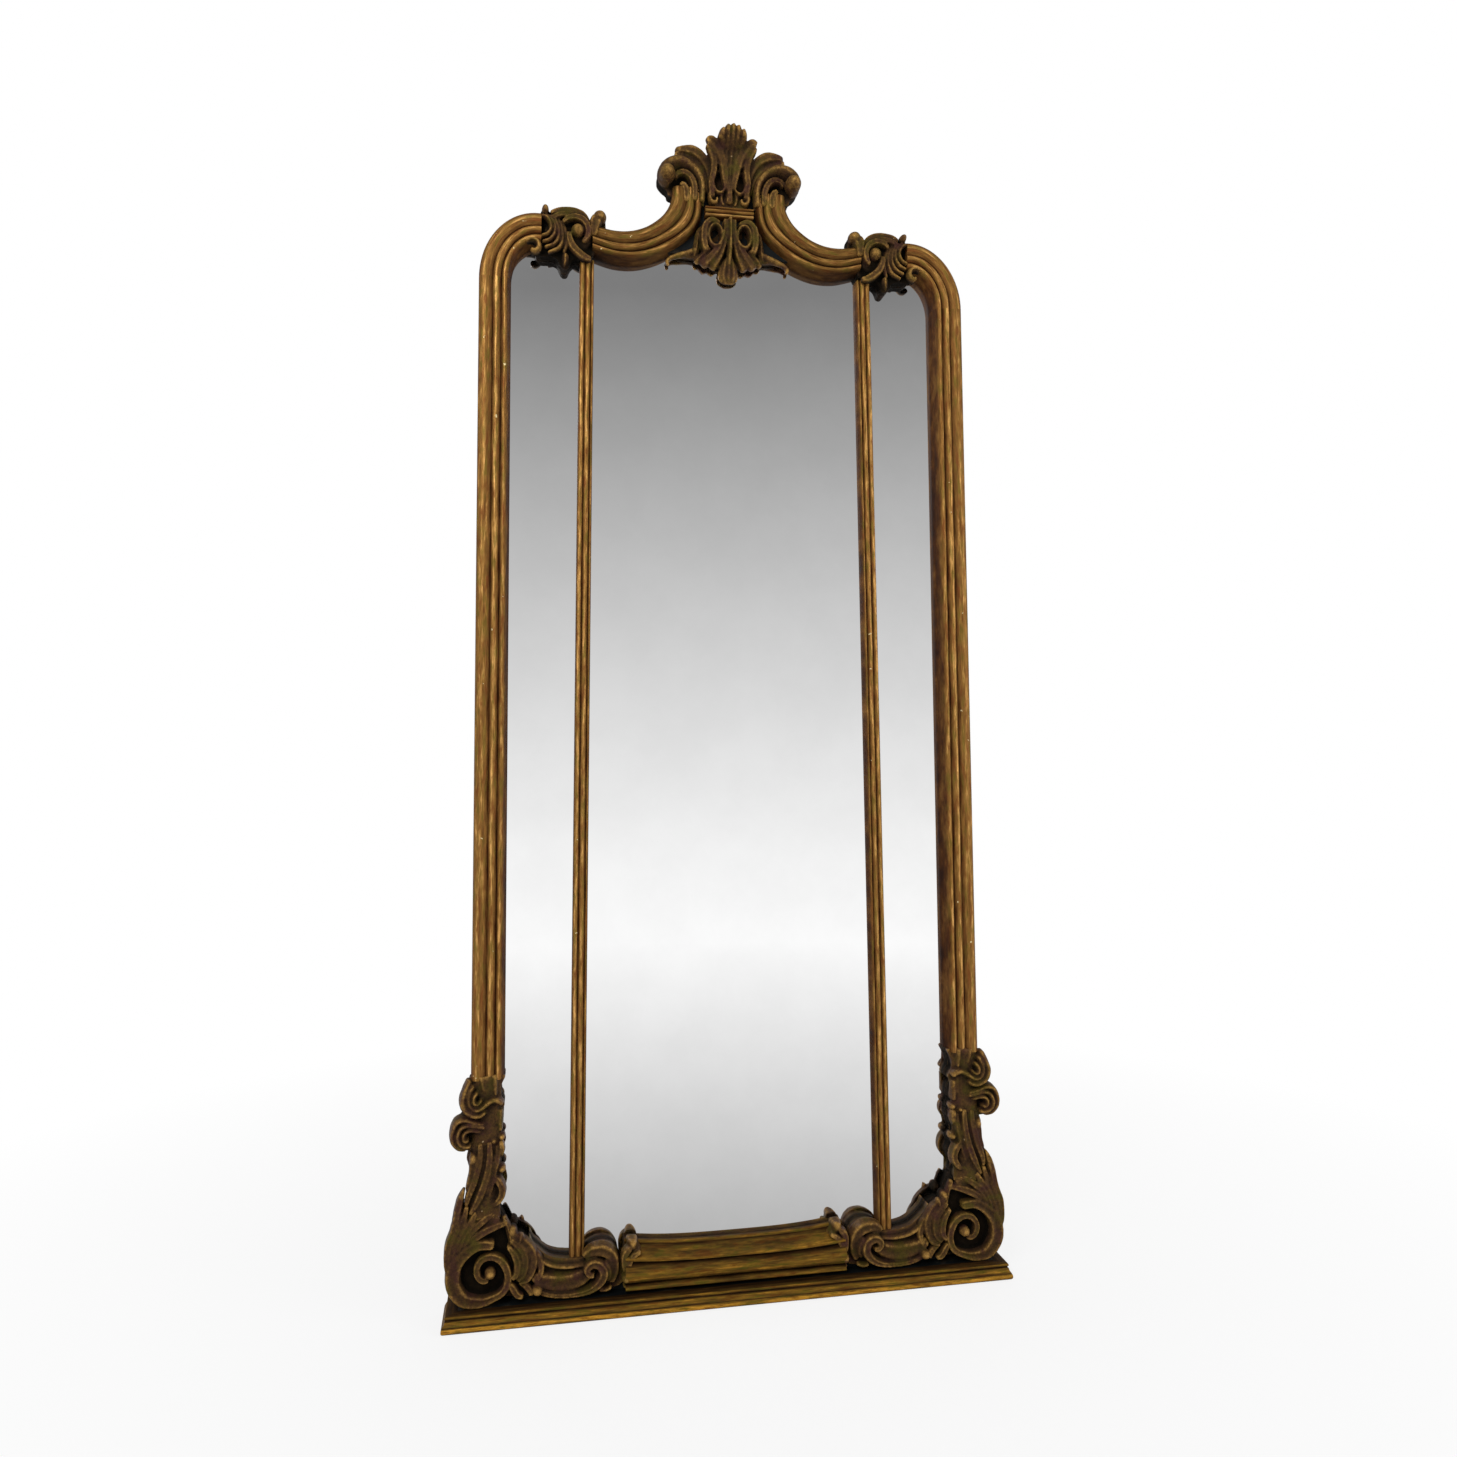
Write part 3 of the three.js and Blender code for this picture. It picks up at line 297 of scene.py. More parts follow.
NODE_FINISH = {
    "gilt_moulding": moulding_gilt,
    "gilt_carving": carving_gilt,
    "black_paint": panel_black,
    "silvered_glass": plate_glass,
    "carcass_wood": carcass_pine,
    "back_boards": board_pine,
}
slot_of = {row["node"]: row["material_slot"] for row in frame["record"]["subparts"]}
for node_name, node_object in frame["nodes"].items():
    node_object.data.materials.clear()
    node_object.data.materials.append(NODE_FINISH[slot_of[node_name]])


# ---------------------------------------------------------------- mesh helpers

def spline(points, t):
    """The point at t, from 0 to 1, of a smooth curve through points of any dimension."""
    last = len(points) - 1
    place = min(max(t, 0.0), 1.0) * last
    i = min(int(place), last - 1)
    u = place - i
    a, b, c, d = (np.atleast_1d(points[min(max(k, 0), last)]).astype(float)
                  for k in (i - 1, i, i + 1, i + 2))
    square = 2 * a - 5 * b + 4 * c - d
    cube = 3 * b - a - 3 * c + d
    return 0.5 * (2 * b + (c - a) * u + square * u ** 2 + cube * u ** 3)


def level(values, t):
    """A number along a path: either the same all along, or a smooth curve through a list."""
    return float(values) if isinstance(values, (int, float)) else float(spline(values, t)[0])


def sweep(bm, rings, relief=None, across=None, along=None):
    """Extrudes a face from ring to ring: each ring is the section's corners in order.

    relief and across are values at each corner of the section, and along at each ring: they are
    kept as the attributes that the gilding reads.
    """
    if relief:
        height = bm.verts.layers.float.get("relief") or bm.verts.layers.float.new("relief")
        run = bm.verts.layers.float_vector.get("run") or bm.verts.layers.float_vector.new("run")

    def set_ring(verts, corners, i):
        for j, (vert, corner) in enumerate(zip(verts, corners)):
            vert.co = corner
            if relief:
                vert[height] = relief[j]
                vert[run] = (across[j] * MM, along[i] * MM, 0)

    face = bm.faces.new([bm.verts.new(corner) for corner in rings[0]])
    set_ring(face.verts, rings[0], 0)
    for i, corners in enumerate(rings[1:], 1):
        grown = bmesh.ops.extrude_face_region(bm, geom=[face])["geom"]
        face = next(item for item in grown if isinstance(item, bmesh.types.BMFace))
        set_ring(face.verts, corners, i)


def finish_piece(bm, name, material, slot, *nodes, smooth=True, angle=40):
    """Turns a bmesh into a piece of the mirror that stands for the given nodes."""
    mesh = bpy.data.meshes.new(name)
    bm.to_mesh(mesh)
    bm.free()
    piece = bpy.data.objects.new(name, mesh)
    scene.collection.objects.link(piece)
    mesh.materials.append(material)
    if smooth:
        mesh.shade_smooth()
        mesh.set_sharp_from_angle(angle=math.radians(angle))
    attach(piece, "root")
    if nodes:
        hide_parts(*nodes)
    return piece


# How the relief of carving is measured, which the gilding paints dark in hollows as wax and painted
# shade and bright on ridges as rubbed wear and painted highlight: rounds of smoothing that it is
# compared with, its value for each metre that it stands proud, rounds that soften it, its value on the
# flat, and how far it falls, as painted shade, for each millimetre below the floor of the carving,
# down to the depth where it stops falling
RELIEF_REACH = 60
RELIEF_GAIN = 130
RELIEF_SOFTENING = 5
FLAT_RELIEF = 0.6
PAINTED_SHADE_DEPTH = 8
PAINTED_SHADE_PER_MM = 0.07


def mark_relief(mesh, floor_depth):
    """Stores how far each vertex stands above its smoothed surroundings, as the relief attribute.

    What lies deeper than floor_depth counts as a hollow and is painted darker as shade, the deeper it
    lies.
    """
    count = len(mesh.vertices)
    places = read_vectors(mesh.vertices, "co")
    normals = read_vectors(mesh.vertex_normals, "vector")
    ends = np.zeros(len(mesh.edges) * 2, dtype=np.int64)
    mesh.edges.foreach_get("vertices", ends)
    a, b = ends.reshape(-1, 2).T
    start, finish = np.concatenate([a, b]), np.concatenate([b, a])
    degree = np.maximum(np.bincount(start, minlength=count), 1)[:, None]
    smoothed = places.copy()
    for _ in range(RELIEF_REACH):
        total = [np.bincount(start, weights=smoothed[finish, axis], minlength=count) for axis in range(3)]
        smoothed = np.stack(total, axis=1) / degree
    # Hollows fall below the flat value and ridges rise above it: the gilding shows them as wax and
    # painted shade, and as rubbed wear and painted highlight
    height = np.einsum("ij,ij->i", places - smoothed, normals) * RELIEF_GAIN
    for _ in range(RELIEF_SOFTENING):
        height = np.bincount(start, weights=height[finish], minlength=count) / degree[:, 0]
    # Painted shade: behind the carving's floor the relief drops with depth, so deep hollows go black
    deep_painted_shade = np.clip(places[:, 1] / MM - FACE - floor_depth, 0, PAINTED_SHADE_DEPTH) * PAINTED_SHADE_PER_MM
    layer = mesh.attributes.new("relief", "FLOAT", "POINT")
    layer.data.foreach_set("value", np.clip(FLAT_RELIEF + height - deep_painted_shade, 0, 1).astype(np.float32))


# ---------------------------------------------------------------- run mouldings

# The frame moulding, from the outer edge to the plate: distance across, depth, and its tone, which is
# rubbed wear with painted highlight on the crowns and painted shade in the grooves
MOULDING = [
    (0, GLASS, 0.3), (0, 14, 0.42), (0.5, 10, 0.5), (1.8, 6.4, 0.6), (4, 3.6, 0.68), (7, 1.8, 0.72),
    (10.5, 0.8, 0.74), (14, 0.8, 0.7), (17.5, 1.8, 0.64), (20.5, 3.6, 0.54), (23, 5.6, 0.44),
    (24.4, 6.8, 0.2), (25, 7, 0.14), (25.6, 6.2, 0.4), (27, 3.8, 0.64), (29, 2, 0.78), (31.5, 1.2, 0.84),
    (34, 1.8, 0.72), (36, 3.4, 0.62), (37.6, 5.2, 0.5), (39, 7.4, 0.26), (39.8, 8.4, 0.08),
    (40.6, 7.4, 0.26), (41.8, 5.8, 0.5), (43, 4.4, 0.66), (45, 3.2, 0.78), (47, 3.2, 0.72),
    (49, 4.4, 0.6), (50.6, 7, 0.46), (51.8, 11, 0.36), (52.8, 16, 0.3), (53.8, 22, 0.28),
    (54.8, 28, 0.24), (56, 34, 0.2), (56, GLASS, 0.15),
]


def between(outer, inner, share):
    """The place at a share of the way from the outer to the inner one."""
    return [a + (b - a) * share for a, b in zip(outer, inner)]


def moulding(name, edges, *nodes, section=MOULDING, width=MOULDING_WIDTH, material=None):
    """A run moulding between two edges of places in the XZ plane."""
    middles = [between(outer, inner, 0.5) for outer, inner in edges]
    along = [0.0]
    for last, middle in zip(middles, middles[1:]):
        along.append(along[-1] + math.dist(last, middle))
    rings = []
    for outer, inner in edges:
        row = [between(outer, inner, across / width) for across, _, _ in section]
        rings.append([mm(x, depth, z) for (x, z), (_, depth, _) in zip(row, section)])
    return run_piece(name, rings, section, along, *nodes, material=material)


def run_piece(name, rings, section, along, *nodes, material=None):
    """A swept piece whose section also gives each of its lines its tone: rubbed wear with painted
    highlight, and painted shade in the grooves.
    """
    bm = bmesh.new()
    sweep(bm, rings, [rubbing_and_shade for _, _, rubbing_and_shade in section], [across for across, _, _ in section], along)
    bmesh.ops.recalc_face_normals(bm, faces=bm.faces)
    return finish_piece(bm, name, material or moulding_gilt, "gilt_moulding", *nodes)


def corner_point(angle, inset):
    """A point of the corner's arc, moved in by inset."""
    return (
        HALF_WIDTH - CORNER_RUN + (CORNER_RUN - inset) * math.cos(angle),
        SPRING + (ARCH_TOP - SPRING - inset) * math.sin(angle),
    )


def flipped(edges, side):
    """The same edges at the given side: 1 is the right and -1 the left."""
    return [[(side * x, z) for x, z in pair] for pair in edges]


UPRIGHT_STEPS = 60
CORNER_STEPS = 26
upright_edges = [
    [(HALF_WIDTH, z), (HALF_WIDTH - MOULDING_WIDTH, z)]
    for z in np.linspace(UPRIGHT_FOOT, SPRING, UPRIGHT_STEPS)
]
corner_edges = [
    [corner_point(angle, 0), corner_point(angle, MOULDING_WIDTH)]
    for angle in np.linspace(0, math.pi / 2, CORNER_STEPS)
]
corner_edges.append([(SHOULDER_OUTER, ARCH_TOP), (SHOULDER_OUTER, ARCH_TOP - MOULDING_WIDTH)])

ARM_TOP = BAR_CENTRE + 40
ARM_ROOT = SHOULDER_INNER - 0.3
# Places along the arm, at its outer and inner edge: share of the way out from the neck to the
# shoulder, and height above the arch
ARM_OUTER = [(1, -14), (0.826, -21), (0.681, -20), (0.556, -12), (0.454, 1), (0.372, 17), (0.319, 35),
             (0.295, 52), (0.29, 70)]
ARM_INNER = [(1, -63), (0.807, -74), (0.614, -74), (0.43, -63), (0.275, -46), (0.145, -26), (0.053, -4),
             (0.01, 24), (0, 70)]


def on_arm(places, t):
    """A place in millimetres on one of the arm's edges, at t from 0 to 1."""
    share, rise = spline(places, t)
    return NECK_HALF + share * (ARM_ROOT - NECK_HALF), ARCH_TOP + rise


ARM_STEPS = 56
arm_edges = [
    [on_arm(ARM_OUTER, t), on_arm(ARM_INNER, t)] for t in np.linspace(0, 1, ARM_STEPS)
]

for side, word in ((-1, "left"), (1, "right")):
    moulding(f"{word}_upright", flipped(upright_edges, side), f"{word}_upright_moulding")
    moulding(f"{word}_corner", flipped(corner_edges, side), f"{word}_corner_moulding")


# Three unequal reeds over the joint of two plates, from the outer edge inwards: rubbed wear and painted
# highlight on the reeds, the outer reed painted lightest as if lit from its side, and painted shade in
# the grooves
PILASTER = [
    (0, GLASS, 0.3), (0, 27, 0.35), (0.8, 23, 0.5), (2.6, 20.6, 0.76), (5, 20, 0.84), (7.4, 21, 0.7),
    (9, 23.4, 0.4), (9.8, 24.8, 0.14), (10.6, 23.4, 0.34), (11.4, 22, 0.56), (13, 20.4, 0.72),
    (15.2, 19.9, 0.8), (17.4, 20.4, 0.7), (19, 22, 0.54), (19.8, 23.6, 0.3), (20.6, 24.8, 0.14),
    (21.4, 23.4, 0.36), (22.4, 21.8, 0.64), (23.6, 21.2, 0.76), (24.8, 22.2, 0.5), (25.7, 25, 0.36),
    (26, 28, 0.3), (26, GLASS, 0.25),
]
PILASTER_WIDTH = 26
PILASTER_FOOT = PLINTH_TOP + 50
pilaster_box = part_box("right_pilaster")
PILASTER_HEAD = pilaster_box[1].z / MM
HEAD_X = pilaster_box[0].x / MM
FOOT_X = pilaster_box[1].x / MM - PILASTER_WIDTH
pilaster_edges = []
for height in np.linspace(PILASTER_FOOT, PILASTER_HEAD, 40):
    share = (PILASTER_HEAD - height) / (PILASTER_HEAD - pilaster_box[0].z / MM)
    inner_x = HEAD_X + (FOOT_X - HEAD_X) * share
    pilaster_edges.append([(inner_x + PILASTER_WIDTH, height), (inner_x, height)])
for side, word in ((-1, "left"), (1, "right")):
    moulding(f"{word}_reeded_pilaster", flipped(pilaster_edges, side), f"{word}_pilaster",
             section=PILASTER, width=PILASTER_WIDTH)

# The reeded bar between the arms, from its top edge down, with rubbed wear and painted highlight on the
# reeds and painted shade in the grooves
BAR_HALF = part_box("crest_bar")[1].x / MM
BAR_HEIGHT = (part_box("crest_bar")[1].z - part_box("crest_bar")[0].z) / MM
BAR_TOP = BAR_CENTRE + BAR_HEIGHT / 2
BAR_FOOT = BAR_CENTRE - BAR_HEIGHT / 2
BAR = [
    (0, 22, 0.2), (0, 12, 0.35), (0.8, 7, 0.5), (2.4, 3.6, 0.6), (4, 3.2, 0.62), (5.4, 5, 0.4),
    (6.2, 7.4, 0.1), (7, 5.4, 0.4), (8.4, 2, 0.7), (10.2, 1, 0.8), (12, 2, 0.7), (13.2, 5, 0.4),
    (14, 7.4, 0.1), (14.8, 5.4, 0.45), (16.2, 3, 0.8), (17.8, 2.8, 0.9), (19.2, 5, 0.8), (20, 9, 0.5),
    (20, 22, 0.2),
]
bar_edges = [[(x, BAR_TOP), (x, BAR_FOOT)] for x in np.linspace(-BAR_HALF, BAR_HALF, 9)]
moulding("reeded_crest_bar", bar_edges, "crest_bar", section=BAR, width=20)

# The base rail: height above the plinth, depth, its tone of rubbed wear with painted highlight and
# painted shade, and how far the ends' rise lifts it
RAIL = [
    (69, 37.6, 0.3, 1), (70.6, 30, 0.5, 1), (71, 26, 0.7, 1), (70, 22.6, 0.8, 1), (68, 20.8, 0.7, 1),
    (66.4, 21.4, 0.3, 1), (65, 21, 0.4, 0.95), (62, 18.6, 0.6, 0.9), (59, 15, 0.68, 0.85),
    (56.4, 10, 0.72, 0.85), (54.6, 4.4, 0.7, 0.8), (53.2, -1, 0.74, 0.8), (51.6, -4.4, 0.84, 0.75),
    (49.4, -5.4, 0.75, 0.7), (47.6, -3, 0.4, 0.65), (46.2, 1.6, 0.06, 0.5), (44.6, -1.6, 0.2, 0.4),
    (42.6, -5.6, 0.5, 0.35), (39, -9.6, 0.68, 0.3), (34, -12.4, 0.8, 0.2), (29, -13, 0.82, 0.1),
    (24, -11, 0.7, 0), (20.4, -7, 0.5, 0), (18.6, -2, 0.2, 0), (17.2, 1, 0.05, 0), (16, -2, 0.3, 0),
    (14.6, -5.6, 0.6, 0), (12, -8, 0.72, 0), (9, -8.4, 0.7, 0), (6.6, -6, 0.5, 0), (5.4, -1, 0.3, 0),
    (5.2, 37.6, 0.15, 0),
]
RAIL_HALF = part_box("base_rail_moulding")[1].x / MM
# The rail stops short of its curls, and its top rises towards them
RAIL_SHORT = 8
RAIL_RISE = 12
RAIL_TOP = 71
# Scales all the rail's tones of rubbed wear, painted highlight and painted shade darker
RAIL_RUBBING_AND_SHADE = 0.86


def rail_height(height, lift, x):
    return PLINTH_TOP + height + lift * RAIL_RISE * abs(x / RAIL_HALF) ** 3


rail_run = np.linspace(RAIL_SHORT - RAIL_HALF, RAIL_HALF - RAIL_SHORT, 41)
rail_rings = [
    [mm(x, depth, rail_height(height, lift, x)) for height, depth, _, lift in RAIL]
    for x in rail_run
]
rail_section = [(RAIL_TOP - height, depth, RAIL_RUBBING_AND_SHADE * rubbing_and_shade) for height, depth, rubbing_and_shade, _ in RAIL]
run_piece("base_rail", rail_rings, rail_section, rail_run - rail_run[0], "base_rail_moulding",
          material=base_gilt)

# The plinth moulding, from the board's top edge outwards and down: reach, height, and its tone of rubbed
# wear with painted highlight, with painted shade in the grooves and under the bead
PLINTH = [
    (0, 27, 0.1), (18.6, 27, 0.4), (20, 26.4, 0.7), (20.4, 24.6, 0.66), (20.2, 23, 0.5), (19, 22, 0.15),
    (18.6, 21, 0.08), (19.2, 20, 0.2), (20.6, 19, 0.6), (21, 17, 0.72), (21.8, 15.2, 0.72),
    (23, 13.4, 0.64), (24.2, 12, 0.5), (24.4, 11, 0.2), (25, 10.2, 0.6), (25.8, 8.8, 0.86),
    (26, 6.8, 0.98), (26, 4.8, 0.94), (25.4, 3, 0.8), (24, 1.4, 0.6), (22.4, 0.4, 0.4), (20.6, 0, 0.2),
    (0, 0, 0.1),
]
PLINTH_HALF = cad_box[1].x / MM
PLINTH_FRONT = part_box("plinth_front_moulding")[0].y / MM - FACE
PLINTH_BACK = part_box("right_plinth_return")[1].y / MM - FACE
PLINTH_WIDTH = 26


def plinth_ring(corner, out_x, out_y):
    """The section at a corner of the board: out_x and out_y say which way the reach goes."""
    return [mm(corner[0] + reach * out_x, corner[1] + reach * out_y, height)
            for reach, height, _ in PLINTH]


# From mitre to mitre the rings are even, but for one just beside each mitre
MITRE_STEP = 2
FRONT_RINGS = 30
END_RINGS = 6
plinth_section = [(reach + PLINTH_TOP - height, 0, rubbing_and_shade) for reach, height, rubbing_and_shade in PLINTH]
board_x = PLINTH_HALF - PLINTH_WIDTH
board_y = PLINTH_FRONT + PLINTH_WIDTH
front_rings = [plinth_ring((-board_x, board_y), -1, -1)]
for x in np.linspace(-board_x + MITRE_STEP, board_x - MITRE_STEP, FRONT_RINGS):
    front_rings.append(plinth_ring((x, board_y), 0, -1))
front_rings.append(plinth_ring((board_x, board_y), 1, -1))
front_run = list(np.linspace(0, 2 * board_x, FRONT_RINGS + 2))
run_piece("plinth_front", front_rings, plinth_section, front_run, "plinth_front_moulding",
          material=base_gilt)
end_run = list(np.linspace(0, PLINTH_BACK - board_y, END_RINGS + 1))
for side, word in ((-1, "left"), (1, "right")):
    rings = [plinth_ring((side * board_x, board_y), side, -1)]
    for y in np.linspace(board_y + MITRE_STEP, PLINTH_BACK, END_RINGS):
        rings.append(plinth_ring((side * board_x, y), side, 0))
    run_piece(f"{word}_plinth_end", rings, plinth_section, end_run, f"{word}_plinth_return",
              material=base_gilt)


# ---------------------------------------------------------------- carving

def profile(height, points=13):
    """A section across a carved strip: place from -1 to 1, and share of the strip's rise."""
    return [(u, height(u)) for u in np.linspace(-1, 1, points)]


ROUND = profile(lambda u: 0.15 + 0.85 * math.sqrt(1 - 0.97 * u * u))
VEINED = profile(lambda u: (1 - 0.8 * abs(u) ** 4) * (0.86 + 0.14 * math.cos(2 * math.pi * u)), 17)
SPOON = profile(lambda u: (1 - 0.85 * abs(u) ** 4) * (0.84 + 0.3 * min(1, (u / 0.75) ** 2)), 17)
BAND_SECTION = profile(lambda u: (1 - 0.7 * abs(u) ** 10) * (0.86 + 0.14 * min(1, (u / 0.8) ** 2)), 17)
FLUTED = profile(lambda u: (1 - 0.7 * abs(u) ** 5) * (0.88 + 0.12 * math.cos(4 * math.pi * u)), 29)


# Distance between the rings of a carved strip
RING_SPACING = 2.2


def strip(bm, path, half, rise, rear, section=ROUND, tips="both"):
    """A carved strip along a smooth path in the XZ plane, in millimetres.

    half is its half width, rise how far it stands proud, and rear the depth it stands on: each is
    a number or a list of values along the path. Its tips are rounded off where tips says so.
    """
    ends = [spline(path, t) for t in np.linspace(0, 1, 40)]
    steps = [0.0] + [float(np.linalg.norm(b - a)) for a, b in zip(ends, ends[1:])]
    length = sum(steps)
    count = max(6, round(length / RING_SPACING))
    rings = []
    for t in 0.5 - 0.5 * np.cos(np.linspace(0, math.pi, count)):
        centre = spline(path, t)
        heading = spline(path, t + 0.004) - spline(path, t - 0.004)
        across = np.array([-heading[1], heading[0]]) / max(np.linalg.norm(heading), 1e-6)
        wide = level(half, t)
        near = length
        if tips in ("both", "start"):
            near = min(near, t * length)
        if tips in ("both", "end"):
            near = min(near, (1 - t) * length)
        close = min(1.0, (near + 0.15 * wide) / wide)
        taper = math.sqrt(1 - (1 - close) ** 2)
        back, proud = level(rear, t), level(rise, t) * (0.45 + 0.55 * taper)
        corners = []
        for u, share in section:
            x, z = centre + across * wide * taper * u
            corners.append(mm(x, back - proud * share, z))
        first, last = centre - across * wide * taper, centre + across * wide * taper
        rings.append([mm(first[0], back, first[1])] + corners + [mm(last[0], back, last[1])])
    sweep(bm, rings)


def plate(bm, outline, front, rear):
    """A flat body with a smooth outline: the ground that carved strips stand on."""
    last = len(outline)
    points = [spline(outline + outline[:1], t) for t in np.linspace(0, 1, 6 * last)[:-1]]
    face = bm.faces.new([bm.verts.new(mm(x, rear, z)) for x, z in points])
    grown = bmesh.ops.extrude_face_region(bm, geom=[face])["geom"]
    bmesh.ops.translate(
        bm, vec=(0, (front - rear) * MM, 0),
        verts=[v for v in grown if isinstance(v, bmesh.types.BMVert)])


def knob(bm, centre, radius, front, rear, squash=1.0):
    """A domed boss whose crown reaches the front depth."""
    made = bmesh.ops.create_uvsphere(bm, u_segments=28, v_segments=18, radius=1)["verts"]
    middle = mm(centre[0], (front + rear) / 2, centre[1])
    shape = Matrix.Translation(middle) @ Matrix.Diagonal(
        (radius * MM, abs(rear - front) / 2 * MM, radius * squash * MM, 1))
    bmesh.ops.transform(bm, matrix=shape, verts=made)


def ring_path(centre, across, up):
    """A closed oval path."""
    return [
        (centre[0] + across * math.cos(a), centre[1] + up * math.sin(a))
        for a in np.linspace(0, 2 * math.pi, 17)
    ]


def shifted(anchor, points):
    """Places in millimetres from distances to an anchor."""
    return [(anchor[0] + dx, anchor[1] + dz) for dx, dz in points]


def read_vectors(collection, name):
    """Reads one vector of every item as a numpy table."""
    values = np.zeros(len(collection) * 3)
    collection.foreach_get(name, values)
    return values.reshape(-1, 3)


# Gouge marks: how deep they go, and how wide one is
GOUGE_DEPTH = 0.35 * MM
GOUGE_WIDTH = 7 * MM
# Width of the cells in which strips, plates and knobs are joined
JOIN_CELL = 1.2 * MM


def hand_cut(mesh, seed):
    """Moves each vertex a little, as a gouge leaves a surface that is never quite even."""
    places = read_vectors(mesh.vertices, "co")
    normals = read_vectors(mesh.vertex_normals, "vector")
    stretch = Vector((seed, 0, 0))
    shift = np.array([noise.noise(Vector(place) / GOUGE_WIDTH + stretch) for place in places])
    mesh.vertices.foreach_set("co", (places + normals * shift[:, None] * GOUGE_DEPTH).ravel())
    mesh.update()


def carve(name, build, *nodes, side=1, seed=0.0, floor_depth=9):
    """Joins the strips, plates and knobs that build makes into one carved piece.

    build draws the right-hand piece, and side -1 mirrors it. What lies deeper than floor_depth is
    painted dark as shade.
    """
    bm = bmesh.new()
    build(bm)
    bmesh.ops.recalc_face_normals(bm, faces=bm.faces)
    if side < 0:
        bmesh.ops.scale(bm, vec=(-1, 1, 1), verts=bm.verts)
        bmesh.ops.reverse_faces(bm, faces=bm.faces)
    rough = bpy.data.meshes.new(name + "_rough")
    bm.to_mesh(rough)
    bm.free()
    block = bpy.data.objects.new(name + "_rough", rough)
    scene.collection.objects.link(block)
    remesh = block.modifiers.new("join", "REMESH")
    remesh.mode = "VOXEL"
    remesh.voxel_size = JOIN_CELL
    bpy.context.view_layer.update()
    joined = bpy.data.meshes.new_from_object(block.evaluated_get(bpy.context.evaluated_depsgraph_get()))
    bpy.data.objects.remove(block)
    bpy.data.meshes.remove(rough)
    hand_cut(joined, seed + side)
    bm = bmesh.new()
    bm.from_mesh(joined)
    bpy.data.meshes.remove(joined)
    for _ in range(3):
        bmesh.ops.smooth_vert(bm, verts=bm.verts, factor=0.5, use_axis_x=True, use_axis_y=True,
                              use_axis_z=True)
    piece = finish_piece(bm, name, carving_gilt, "gilt_carving", *nodes, angle=80)
    keep_inside(piece.data)
    mark_relief(piece.data, floor_depth)
    return piece


def keep_inside(mesh):
    """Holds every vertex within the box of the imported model."""
    places = np.clip(read_vectors(mesh.vertices, "co"), cad_box[0], cad_box[1])
    mesh.vertices.foreach_set("co", places.ravel())
    mesh.update()


# Forms of the foot: distances from the frame's outer edge, and heights above the plinth
FOOT = (HALF_WIDTH, PLINTH_TOP)
EYE = (-29, 53)


def at_foot(points):
    return shifted(FOOT, points)


# Centre line and half width of the spiral band, every 30 degrees from its blunt start
BAND = [
    (47, 8), (49, 8.8), (50, 10), (54, 12.4), (56, 13.6), (54, 12.4), (46, 9.3), (41, 6.8), (41, 6.4),
    (37, 6.8), (33, 7), (31, 6.6), (28, 6), (25, 5.8), (20.5, 5.8), (16.5, 5.8), (14, 5.6),
    (12.5, 5.4), (11, 5.4), (9, 5),
]
BAND_START = 105


def volute(bm):
    """The spiral foot, with flutes that fan out over it to the frame's outer edge."""
    wind = [math.radians(BAND_START - 30 * i) for i in range(len(BAND))]
    spiral = [(EYE[0] + r * math.cos(a), EYE[1] + r * math.sin(a)) for (r, _), a in zip(BAND, wind)]
    strip(bm, at_foot(spiral), [half for _, half in BAND], 24, [18] * 12 + [20] * 8, section=BAND_SECTION)
    knob(bm, at_foot([(EYE[0] - 6, EYE[1] - 1)])[0], 9.5, -8, 26)
    plate(bm, at_foot([
        (-70, 8), (-40, 9), (-4, 9), (14, 12), (25, 23), (34, 38), (39, 54), (40, 72), (38, 88),
        (33, 104), (26, 122), (22, 140), (16, 160), (4, 166), (-20, 150), (-48, 146), (-62, 122),
        (-70, 100)]), 14, 38)
    strip(bm, at_foot([(-50, 136), (-24, 136), (2, 124), (20, 100), (26, 70)]), [10, 16, 19, 15, 10], 15,
          16)
    ground = [18, 15, 14, 14, 16]
    for path, half in (
        ([(9, 192), (15, 176), (19, 158), (22, 140), (26, 124), (33, 106), (36, 88), (36, 68), (32, 50)],
         [2, 6, 7, 7, 7, 6.5, 5.5, 4.5, 3]),
        ([(4, 164), (10, 140), (18, 118), (26, 98), (28, 78), (24, 58)], [4, 7, 7, 6.5, 5.5, 3]),
        ([(-14, 158), (-4, 140), (6, 124), (14, 108), (19, 92), (19, 76)], [4, 7, 7, 7, 6, 3]),
        ([(-42, 150), (-26, 142), (-11, 131), (2, 117), (10, 102), (12, 88)], [4, 7, 7, 7, 6.5, 3]),
        ([(-64, 132), (-46, 130), (-30, 125), (-15, 117), (-3, 107), (5, 95)], [4, 7, 8, 7.5, 6.5, 3.5]),
    ):
        strip(bm, at_foot(path), half, [17, 21, 21, 20, 19], ground, section=SPOON)
    strip(bm, at_foot([(-56, 142), (-66, 116), (-70, 88)]), [4, 6, 3.5], 17, 18, section=VEINED)


